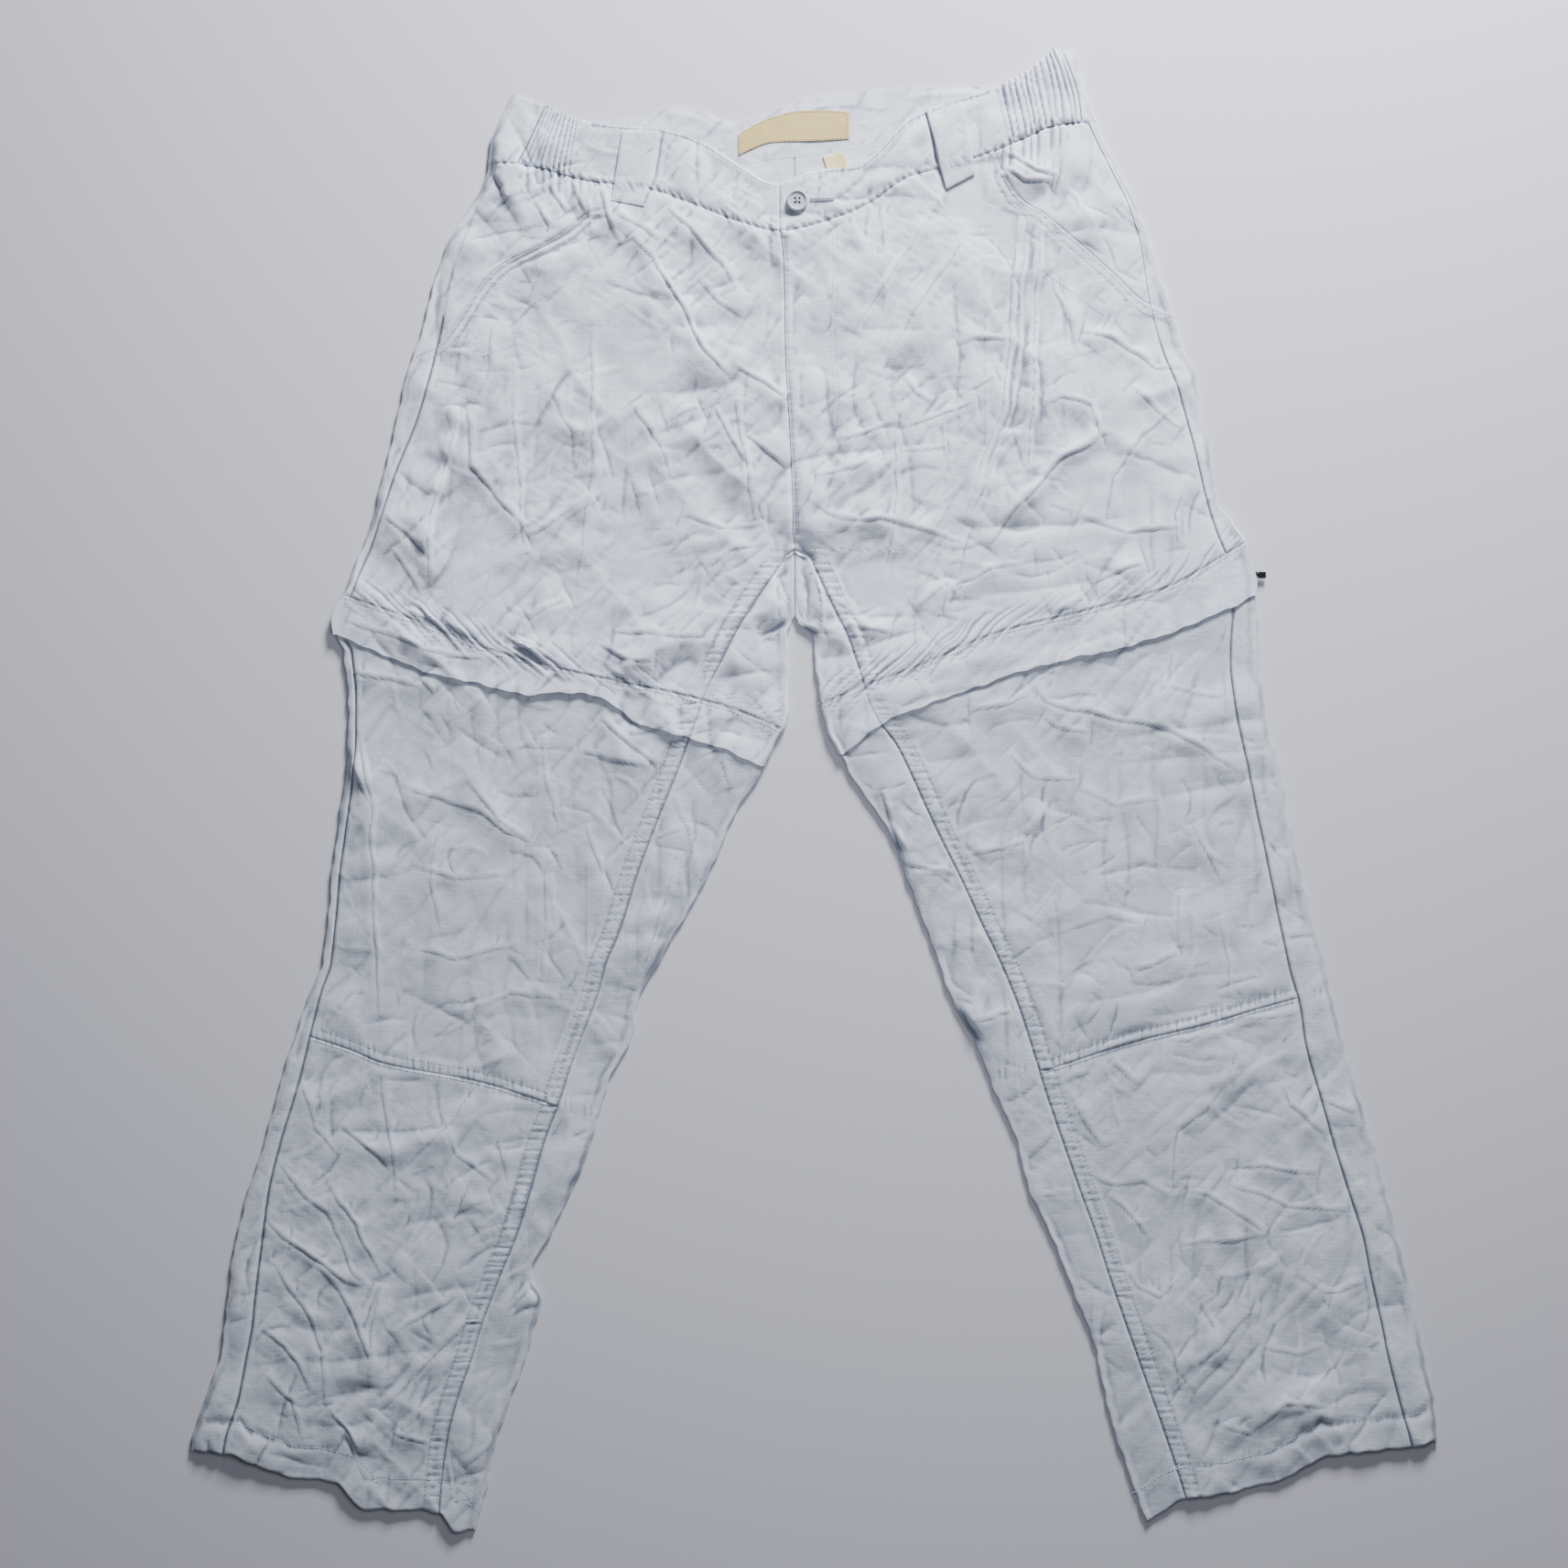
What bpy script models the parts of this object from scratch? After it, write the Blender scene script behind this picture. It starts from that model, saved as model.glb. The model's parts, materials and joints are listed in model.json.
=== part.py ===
"""Convertible zip-off trousers in thin nylon, laid flat with the front up.

World frame: +X to the right seen from above, +Y towards the waist, +Z up out of the cloth. The origin lies on
the surface under the middle of the garment. R is the wearer's right leg, which lies at -X, and L the left leg,
at +X.

Each leg is a flattened tube. Its back piece runs under the leg and turns up round both edges to the side seam and
the inseam, which lie on top, and the front pieces lie between those two seams. Each piece is a wall between two
skins of points, worked out from the seam lines and from one height for the whole top of the garment.
"""

import math

import bmesh
import bpy
import numpy as np

MM = 0.001
# Places along the seams are read off the photograph in its pixels, and one pixel is this much cloth.
PIXEL = 0.70 * MM
MIDDLE_ACROSS, MIDDLE_DOWN = 889.8, 863.1  # pixel over the origin

# Cloth and seams
CLOTH = 1.2 * MM  # wall of every cloth piece
SEAM_GAP = 0.3 * MM  # between two pieces sewn edge to edge, and between a piece and what it lies on
LAYER_GAP = 0.5 * MM  # between the flap and what is tucked under it
LABEL_WALL = 1.0 * MM
FACING_TIP = 4 * MM  # the pocket facing ends where it gets this narrow

# Heights of the laid garment
EDGE_HEIGHT = 3.6 * MM  # at a folded edge
BODY_HEIGHT = 4.8 * MM  # over the panels
FLAP_EDGE_HEIGHT = 6.3 * MM  # at a folded edge where the flap covers the zip
FLAP_HEIGHT = 7.2 * MM
LOWEST_TOP = 3.2 * MM  # the front never lies closer to the floor than this
EDGE_FADE = 22 * MM  # from a folded edge to the full height
FLAP_RISE = 45 * MM  # the shorts rise to the flap over this length
TUCK_START = 2 * MM  # a leg stays at its tucked height this far past the flap's free edge
TUCK_FADE = 14 * MM  # and then comes down over this length
ZIP_DEPTH = 0.85  # share of the flap's depth that the zip takes up
FLAT_END = 1.2 * MM  # past the strip that rolls up below the crotch, at the centre back seam
FLAT_SPARE = 0.6 * MM

# Waistband elastic
RIB_HEIGHT = 0.9 * MM
RIBS = {"R": 10, "L": 13}
POINTS_PER_RIB = 2

# Hard pieces
BUTTON_RADIUS = 8.4 * MM
BUTTON_HEIGHT = 3.0 * MM
BUTTON_RIM = 1.4 * MM
BUTTON_HOLE = 0.9 * MM
BUTTON_HOLE_SPACING = 1.9 * MM
BUTTON_SEAT = 0.45 * MM
SLIDER_LONG, SLIDER_WIDE, SLIDER_THICK = 6.0 * MM, 7.6 * MM, 2.8 * MM
PIN_RADIUS = 0.5 * MM
EYE_RADIUS, EYE_BORE = 1.15 * MM, 0.75 * MM
PULL_REACH = 7.0 * MM  # from the pin to the tab's tip
PULL_WIDE, PULL_THICK = 5.0 * MM, 1.2 * MM
PULL_NECK = 2.6 * MM
PIN_OUT = 1.6 * MM  # pin beyond the flap's outer edge
PULL_HEIGHT = 3.1 * MM

CENTRE = 868.0  # pixel column of the centre seam
CROTCH = 600.0  # pixel level of the crotch

# Points across a leg, the same for every piece, so that pieces meet point to point along their seams
FRONT_POINTS = 16  # from side seam to inseam
OUTER_POINTS = 3  # on top, beside the outer edge
INNER_POINTS = 4  # on top, beside the inner edge
TURN_POINTS = 4  # round each folded edge
UNDER_POINTS = 7  # underneath


def across(pixel):
    """X of a pixel column."""
    return (np.asarray(pixel, float) - MIDDLE_ACROSS) * PIXEL


def along(pixel):
    """Y of a pixel level, which counts downwards."""
    return (MIDDLE_DOWN - np.asarray(pixel, float)) * PIXEL


CENTRE_X, CROTCH_Y = float(across(CENTRE)), float(along(CROTCH))


def smooth(share):
    """0 below 0, 1 above 1, and a soft S between."""
    t = np.clip(share, 0, 1)
    return t * t * (3 - 2 * t)


def curve(knots, values):
    """A smooth line through its knots that never swings past them, of cubic pieces whose slopes are harmonic
    means."""
    order = np.argsort(knots)
    k, v = np.asarray(knots, float)[order], np.asarray(values, float)[order]
    step = np.diff(k)
    slope = np.diff(v) / step
    tangent = np.concatenate([slope[:1], np.zeros(len(k) - 2), slope[-1:]])
    product = slope[:-1] * slope[1:]
    same_way = product > 0
    total = np.where(same_way, slope[:-1] + slope[1:], 1)
    tangent[1:-1] = np.where(same_way, 2 * product / total, 0)

    def read(at):
        i = np.clip(np.searchsorted(k, at) - 1, 0, len(step) - 1)
        t = np.clip((at - k[i]) / step[i], 0, 1)
        rise = v[i + 1] - v[i]
        a = tangent[i] * step[i] - rise
        b = rise - tangent[i + 1] * step[i]
        return v[i] + t * rise + t * (1 - t) * (a * (1 - t) + b * t)

    return read


def column_lines(rows, *names):
    """Lines that run down the garment, {name: x as a function of y}. A row is one level with a place for each
    name."""
    table = np.array(rows, float)
    levels = along(table[:, 0])
    return {name: curve(levels, across(table[:, n + 1])) for n, name in enumerate(names)}


def row_line(*points):
    """A line that runs across the garment: y as a function of x."""
    table = np.array(points, float)
    return curve(across(table[:, 0]), along(table[:, 1]))


# Down each leg: level, outer edge, side seam, fly then inseam, inner edge
RIGHT = column_lines(
    [
        (60, 577, 586, 850, 867.8),
        (101, 560, 569, 850, 867.8),
        (168, 533, 542, 850, 867.8),
        (180, 533, 542, 851, 867.8),
        (231, 509, 518, 852, 867.8),
        (264, 489, 506, 855, 867.8),
        (306, 474, 491, 857, 867.8),
        (345, 464, 484, 858, 867.8),
        (378, 454, 477, 859, 867.8),
        (417, 441, 468, 860, 867.8),
        (456, 433, 456, 862, 867.8),
        (518, 418, 431, 865, 867.8),
        (571, 405, 414, 866, 867.8),
        (594, 397, 406, 867, 867.8),
        (604, 393, 402, 860, 867.8),
        (625, 384, 393, 847, 867.8),
        (652, 374, 383, 828, 867.8),
        (668, 364, 374, 818, 867.8),
        (680, 363, 373, 810, 866),
        (692, 364, 374, 803, 860),
        (714, 373, 383, 792, 861),
        (760, 379, 388, 769, 862),
        (790, 379, 388, 759, 860),
        (806, 379, 388, 753, 850),
        (842, 377, 386, 740, 834),
        (886, 371, 380, 722, 805),
        (958, 361, 370, 695, 773),
        (1016, 356, 365, 677, 740),
        (1055, 350, 360, 661, 718),
        (1085, 338, 350, 653, 700),
        (1136, 320, 337, 634, 689),
        (1174, 308, 328, 620, 669),
        (1206, 299, 319, 610, 657),
        (1248, 288, 306, 594, 646),
        (1302, 270, 293, 579, 624),
        (1353, 257, 286, 563, 599),
        (1394, 250, 281, 546, 580),
        (1420, 247, 278, 536, 591),
        (1450, 244, 275, 525, 584),
        (1487, 238, 268, 514, 573),
        (1530, 223, 260, 499, 557),
        (1574, 209, 246, 488, 542),
        (1627, 206, 238, 481, 531),
        (1680, 205, 230, 478, 517),
    ],
    "outer",
    "side",
    "inseam",
    "inner",
)
LEFT = column_lines(
    [
        (45, 1172, 1163, 850, 868.2),
        (84, 1183, 1174, 850, 868.2),
        (131, 1198, 1189, 850, 868.2),
        (180, 1221, 1212, 851, 868.2),
        (220, 1241, 1232, 852, 868.2),
        (266, 1259, 1247, 855, 868.2),
        (325, 1278, 1256, 858, 868.2),
        (385, 1297, 1272, 859, 868.2),
        (427, 1311, 1288, 860, 868.2),
        (476, 1320, 1302, 863, 868.2),
        (518, 1326, 1312, 865, 868.2),
        (550, 1332, 1320, 867, 868.2),
        (570, 1348, 1326, 868, 868.2),
        (588, 1360, 1332, 869, 868.2),
        (600, 1365, 1337, 875, 868.2),
        (607, 1367, 1340, 883, 868.2),
        (620, 1370, 1345, 890, 868.2),
        (652, 1374, 1350, 905, 868.2),
        (680, 1375, 1347, 919, 870),
        (692, 1375, 1346, 925, 887),
        (720, 1376, 1345, 935, 890),
        (769, 1382, 1349, 951, 896),
        (790, 1385, 1353, 962, 901),
        (813, 1391, 1358, 979, 910),
        (849, 1402, 1366, 997, 930),
        (889, 1407, 1374, 1015, 958),
        (930, 1416, 1383, 1035, 981),
        (962, 1424, 1389, 1051, 991),
        (1010, 1436, 1399, 1073, 1010),
        (1058, 1449, 1409, 1096, 1027),
        (1100, 1458, 1421, 1113, 1043),
        (1142, 1469, 1427, 1127, 1067),
        (1188, 1482, 1440, 1141, 1084),
        (1238, 1498, 1454, 1158, 1107),
        (1306, 1516, 1475, 1182, 1126),
        (1350, 1527, 1489, 1198, 1148),
        (1394, 1538, 1498, 1212, 1165),
        (1452, 1550, 1511, 1232, 1189),
        (1480, 1556, 1516, 1242, 1198),
        (1531, 1567, 1529, 1260, 1208),
        (1582, 1572, 1543, 1278, 1223),
        (1641, 1574, 1556, 1297, 1244),
        (1668, 1575, 1562, 1305, 1254),
    ],
    "outer",
    "side",
    "inseam",
    "inner",
)

# Slanted pocket openings: level, edge of the opening. The last row carries the line out past the side seam.
RIGHT |= column_lines(
    [
        (185, 660), (228, 644), (254, 617), (272, 584), (292, 545), (322, 518), (345, 504), (373, 482),
        (395, 440), (600, 340),
    ],
    "pocket",
)
LEFT |= column_lines(
    [
        (150, 1080), (192, 1097), (215, 1112), (235, 1143), (255, 1166), (275, 1190), (304, 1222), (330, 1250),
        (352, 1300), (600, 1420),
    ],
    "pocket",
)

# Lines across each leg: place, level
RIGHT["flap_seam"] = row_line(
    (350, 640), (392, 656), (448, 676), (545, 713), (662, 742), (740, 758), (805, 776), (866, 802)
)
RIGHT["flap_edge"] = row_line(
    (350, 690), (368, 694), (412, 712), (464, 733), (545, 752), (580, 760), (612, 756), (652, 761),
    (704, 793), (745, 804), (789, 818), (866, 853)
)
RIGHT["knee"] = row_line(
    (310, 1124), (379, 1146), (420, 1162), (519, 1181), (583, 1200), (620, 1213), (700, 1232)
)
RIGHT["hem"] = row_line(
    (190, 1586), (247, 1587), (273, 1599), (323, 1615), (365, 1620), (399, 1650), (449, 1650), (480, 1654),
    (497, 1675), (518, 1670), (560, 1660)
)
LEFT["flap_seam"] = row_line(
    (1390, 574), (1338, 606), (1272, 643), (1183, 668), (1091, 691), (1003, 728), (938, 752), (880, 778)
)
LEFT["flap_edge"] = row_line(
    (1390, 645), (1374, 649), (1348, 662), (1292, 686), (1236, 705), (1131, 729), (1043, 759), (970, 787),
    (918, 825), (880, 846)
)
LEFT["knee"] = row_line(
    (1060, 1186), (1142, 1169), (1230, 1141), (1325, 1117), (1383, 1100), (1430, 1089), (1480, 1086)
)
LEFT["hem"] = row_line(
    (1235, 1668), (1254, 1662), (1300, 1637), (1341, 1632), (1400, 1617), (1461, 1589), (1507, 1585),
    (1590, 1573)
)

# Level of the crotch, tilted at the outer edge to stay above the flap
RIGHT["crotch_row"] = row_line((350, 590), (860, CROTCH), (900, CROTCH))
LEFT["crotch_row"] = row_line((840, CROTCH), (880, CROTCH), (1200, 570), (1400, 520))

# Edge of the fly, which the two fronts share above the crotch: level, place
FLY = column_lines([(240, 852), (290, 857), (395, 859), (483, 864), (536, 866), (598, 867.5)], "edge")["edge"]

# Lines across the waist, from end to end
BAND_TOP_FRONT = row_line(
    (533, 92), (560, 101), (597, 115), (639, 133), (723, 141), (765, 154), (801, 175), (847, 199), (889, 186),
    (934, 182), (959, 164), (994, 129), (1030, 114), (1087, 95), (1132, 71), (1152, 53), (1175, 52), (1200, 52)
)
BAND_TOP_BACK = row_line(
    (533, 92), (560, 101), (597, 115), (639, 132), (694, 127), (745, 114), (804, 131), (839, 121), (890, 104),
    (979, 95), (1087, 92), (1132, 71), (1152, 53), (1175, 52), (1200, 52)
)
WAIST_FRONT = row_line(
    (520, 178), (540, 179), (562, 180), (584, 182), (638, 196), (708, 206), (755, 222), (806, 241), (851, 252),
    (912, 238), (950, 221), (991, 194), (1026, 183), (1074, 169), (1116, 152), (1151, 137), (1175, 134),
    (1210, 132)
)
WAIST_BACK = row_line(
    (520, 178), (540, 179), (562, 180), (600, 182), (700, 183), (790, 179), (860, 171), (930, 162),
    (1030, 149), (1130, 139), (1151, 137), (1175, 134), (1210, 132)
)
# Where the waistband's back piece meets each front piece on top: level, place
ELASTIC_END = column_lines([(45, 1157, 614), (110, 1180, 596), (180, 1185, 566)], "L", "R")
# Inner end of each elastic stretch
ELASTIC_START = column_lines([(95, 1087, 640), (200, 1112, 625)], "L", "R")
BAND_SPLIT = float(across(850))  # the two front bands meet here, under the button
WAIST_LEVEL = float(along(200))

# Largest folds: from place and level, to place and level, width in mm, height in mm (a trough is below 0)
FOLDS = [
    (1117, 240, 1104, 400, 12, -0.9),  # inverted pleat in the left shorts
    (1104, 400, 1072, 540, 14, -0.9),
    (1140, 250, 1132, 440, 12, 1.3),
    (1092, 260, 1082, 430, 12, 1.0),
    (1200, 470, 1085, 600, 16, 1.4),
    (882, 540, 1060, 590, 14, 1.0),
    (1190, 362, 1300, 402, 14, 1.0),
    (1034, 215, 935, 440, 18, 0.9),
    (714, 280, 800, 415, 14, 1.1),  # right shorts
    (583, 190, 548, 208, 10, 1.0),
    (640, 245, 570, 300, 16, 1.0),
    (805, 440, 826, 560, 14, 0.9),
    (500, 446, 470, 640, 14, 1.0),
    (566, 400, 575, 600, 18, 0.8),
    (382, 775, 410, 1100, 14, 1.4),  # right leg
    (742, 930, 700, 1080, 14, 1.6),
    (597, 800, 595, 1060, 22, 0.9),
    (652, 790, 720, 836, 12, 1.1),
    (372, 1230, 432, 1284, 14, 1.3),
    (556, 1146, 434, 1284, 16, 1.3),
    (434, 1290, 402, 1560, 16, 1.6),
    (300, 1340, 400, 1408, 13, 1.3),
    (300, 1390, 354, 1530, 13, 1.4),
    (534, 1310, 430, 1388, 13, 1.2),
    (520, 1432, 405, 1550, 13, 1.5),
    (1130, 748, 1340, 835, 14, 1.3),  # left leg
    (970, 868, 1000, 960, 12, -0.7),
    (1052, 930, 1135, 900, 12, 0.9),
    (1300, 1136, 1417, 1108, 12, 1.2),
    (1356, 1140, 1285, 1240, 14, 1.2),
    (1285, 1300, 1400, 1352, 13, 1.3),
    (1345, 1294, 1474, 1324, 12, 1.1),
    (1400, 1182, 1452, 1238, 13, 1.0),
    (1232, 1386, 1296, 1400, 12, 1.2),
    (1398, 1378, 1300, 1500, 14, 1.3),
    (1478, 1450, 1420, 1530, 13, 1.2),
]


def which_leg(x, name):
    """A line read off the leg on whose side of the centre seam each place lies."""
    return np.where(x < CENTRE_X, RIGHT[name](x), LEFT[name](x))


def folds(x, y):
    """Height of the folds: each is a soft ridge that falls off with the distance from its line, and the highest
    counts."""
    high, low = np.zeros(np.shape(x)), np.zeros(np.shape(x))
    for start_across, start_down, end_across, end_down, width, height in FOLDS:
        ax, ay = across(start_across), along(start_down)
        dx, dy = across(end_across) - ax, along(end_down) - ay
        share = np.clip(((x - ax) * dx + (y - ay) * dy) / (dx * dx + dy * dy), 0, 1)
        off = np.hypot(x - ax - share * dx, y - ay - share * dy) / (width * MM)
        ridge = height * MM * np.exp(-off * off)
        high, low = np.maximum(high, ridge), np.minimum(low, ridge)
    return high + low


def from_edge(x, y):
    """How far a place lies in from the nearest folded edge."""
    inner = np.where(x < CENTRE_X, RIGHT["inner"](y) - x, x - LEFT["inner"](y))
    inner = np.hypot(np.maximum(inner, 0), np.maximum(y - CROTCH_Y, 0))
    return np.minimum(np.minimum(x - RIGHT["outer"](y), LEFT["outer"](y) - x), inner)


def flap_lift(x, y):
    """0 well above the flap and 1 on it."""
    return smooth(1 - (y - which_leg(x, "flap_seam")) / FLAP_RISE)


def edge_top(x, y):
    """Height of the shorts and flap at a folded edge."""
    return EDGE_HEIGHT + (FLAP_EDGE_HEIGHT - EDGE_HEIGHT) * flap_lift(x, y)


def body_top(x, y):
    """Height of the top of the shorts, waistband and flap."""
    edge, lift = edge_top(x, y), flap_lift(x, y)
    full = BODY_HEIGHT + (FLAP_HEIGHT - BODY_HEIGHT) * lift + folds(x, y) * (1 - 0.7 * lift)
    inside = smooth((from_edge(x, y) - edge / 2) / EDGE_FADE)
    return np.maximum(edge + (full - edge) * inside, LOWEST_TOP)


def floor(x, y):
    """The surface the garment lies on."""
    return np.zeros(np.broadcast(x, y).shape)


def tuck(x, y):
    """1 where a leg is tucked under its flap, down to 0 below the flap's free edge."""
    below = which_leg(x, "flap_edge") - y - TUCK_START
    return smooth(1 - below / TUCK_FADE)


def leg_low(x, y):
    """Underside of a leg: on the floor, and on the back of the flap where the leg is tucked into it."""
    return (CLOTH + SEAM_GAP) * tuck(x, y)


def leg_inset(x, y):
    """How far a leg's edge lies inside the flap's edge."""
    return (CLOTH + LAYER_GAP) * tuck(x, y)


def leg_edge_top(x, y):
    under_flap = FLAP_EDGE_HEIGHT - CLOTH - LAYER_GAP
    return EDGE_HEIGHT + (under_flap - EDGE_HEIGHT) * tuck(x, y)


def leg_top(x, y):
    """Height of the top of a leg: just under the flap, then down to its own height."""
    tucked, edge = tuck(x, y), leg_edge_top(x, y)
    half = (edge - leg_low(x, y)) / 2
    inside = smooth((from_edge(x, y) - leg_inset(x, y) - half) / EDGE_FADE)
    free = EDGE_HEIGHT + (BODY_HEIGHT + folds(x, y) - EDGE_HEIGHT) * inside
    under = body_top(x, y) - CLOTH - LAYER_GAP
    top = free + (under - free) * tucked
    return np.maximum(edge + (top - edge) * smooth(inside * 4), LOWEST_TOP)


def settle(place, above, below, down):
    """Places and levels of a grid's points: each lies a share of the way between the line above it and the one
    below, read where the point itself is, so the two are settled together."""
    y = np.zeros(1)
    x = place(y)
    for _ in range(40):
        top, bottom = above(x), below(x)
        y = (y + top + (bottom - top) * down) / 2
        x = place(y)
    return x, y


def settle_all(place, stretches, rolled=None):
    """Settles one stretch after another down the piece. A stretch is the lines above and below it and its
    rows."""
    found, done = [], 0
    for above, below, rows in stretches:
        part = None if rolled is None else rolled[done : done + len(rows)]
        placed = place if part is None else lambda y, part=part: place(y, part)
        found.append(settle(placed, above, below, np.array(rows)[:, None]))
        done += len(rows)
    return np.concatenate([x for x, _ in found]), np.concatenate([y for _, y in found])


def wall(outer, inner):
    """Faces of a closed wall between two grids of points: both skins and the four rims."""
    rows, columns = outer.shape[:2]
    index = np.arange(rows * columns).reshape(rows, columns)
    skin = np.stack([index[:-1, :-1], index[:-1, 1:], index[1:, 1:], index[1:, :-1]], axis=-1).reshape(-1, 4)
    around = np.concatenate([index[0, :-1], index[:-1, -1], index[-1, :0:-1], index[:0:-1, 0]])
    following = np.roll(around, -1)
    shift = rows * columns
    rim = np.stack([around, around + shift, following + shift, following], axis=1)
    points = np.concatenate([outer.reshape(-1, 3), inner.reshape(-1, 3)])
    return points, np.concatenate([skin, skin[:, ::-1] + shift, rim])


def finish(name, colour, roughness, metallic=0.0):
    """A Principled material."""
    made = bpy.data.materials.get(name) or bpy.data.materials.new(name)
    made.use_nodes = True
    shader = made.node_tree.nodes["Principled BSDF"]
    shader.inputs["Base Color"].default_value = (*colour, 1)
    shader.inputs["Roughness"].default_value = roughness
    shader.inputs["Metallic"].default_value = metallic
    return made


def place_object(name, mesh, material):
    """Puts a mesh in the garment's collection with its faces pointing out."""
    cleaned = bmesh.new()
    cleaned.from_mesh(mesh)
    bmesh.ops.recalc_face_normals(cleaned, faces=cleaned.faces)
    cleaned.to_mesh(mesh)
    cleaned.free()
    mesh.materials.clear()
    mesh.materials.append(material)
    piece = bpy.data.objects.new(name, mesh)
    GARMENT.objects.link(piece)
    return piece


def cloth(name, outer, inner, material):
    """A cloth piece between its two skins."""
    points, faces = wall(outer, inner)
    mesh = bpy.data.meshes.new(name)
    mesh.from_pydata(points.tolist(), [], faces.tolist())
    mesh.shade_smooth()
    mesh.set_sharp_from_angle(angle=math.radians(50))
    return place_object(name, mesh, material)


def stack(x, y, z):
    return np.stack(np.broadcast_arrays(x, y, z), axis=-1)


def half_gap(line, y):
    """Half a seam's gap, measured across the garment, on a seam that may be slanted."""
    slope = (line(y + MM) - line(y - MM)) / (2 * MM)
    return SEAM_GAP / 2 * np.sqrt(1 + slope * slope)


def beside(line, side):
    """A seam line moved half a gap to one side: +1 towards +X, -1 towards -X."""
    return lambda y: line(y) + side * half_gap(line, y)


def past(line, side):
    """A line across the garment moved half a gap up (+1) or down (-1)."""
    return lambda x: line(x) + side * SEAM_GAP / 2


def between(first, second, share):
    """A line a share of the way from one line across the garment to another."""
    return lambda x: first(x) + (second(x) - first(x)) * share


def panel(name, start, stop, stretches, columns, top, material, ribs=None):
    """A flat-lying piece between two lines that run down and lines that run across."""
    share = np.linspace(0, 1, columns) if np.isscalar(columns) else columns

    def place(y):
        return start(y) + (stop(y) - start(y)) * share

    x, y = settle_all(place, stretches)
    height = top(x, y)
    raised = height if ribs is None else height + ribs(x, y)
    return cloth(name, stack(x, y, raised), stack(x, y, height - CLOTH), material)


class Section:
    """Columns of points round one cross-section of a flattened leg, with the outer edge at -X. Each column belongs
    to a stretch of the section, and lies a share of the way along it."""

    OUTER_TOP, OUTER_TURN, UNDER, INNER_TURN, INNER_TOP, MIDDLE, RETURN, LIP = range(8)

    def __init__(self, *stretches):
        """Each stretch is its kind, its count of points and whether it has its first and its last point."""
        kinds, shares = [], []
        for kind, count, first, last in stretches:
            share = np.linspace(0, 1, count)[0 if first else 1 : None if last else -1]
            kinds += [kind] * len(share)
            shares += list(share)
        self.kind, self.share = np.array(kinds), np.array(shares)


WRAPPED = Section(
    (Section.OUTER_TOP, OUTER_POINTS, True, False),
    (Section.OUTER_TURN, TURN_POINTS, True, True),
    (Section.UNDER, UNDER_POINTS, False, False),
    (Section.INNER_TURN, TURN_POINTS, True, True),
    (Section.INNER_TOP, INNER_POINTS, False, True),
)
RING = Section(
    (Section.LIP, 2, True, True),
    (Section.UNDER, UNDER_POINTS, False, False),
    (Section.INNER_TURN, TURN_POINTS, True, True),
    (Section.INNER_TOP, INNER_POINTS, False, True),
    (Section.MIDDLE, FRONT_POINTS, False, True),
    (Section.RETURN, OUTER_POINTS, False, True),
    (Section.LIP, 2, False, False),
)


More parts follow.
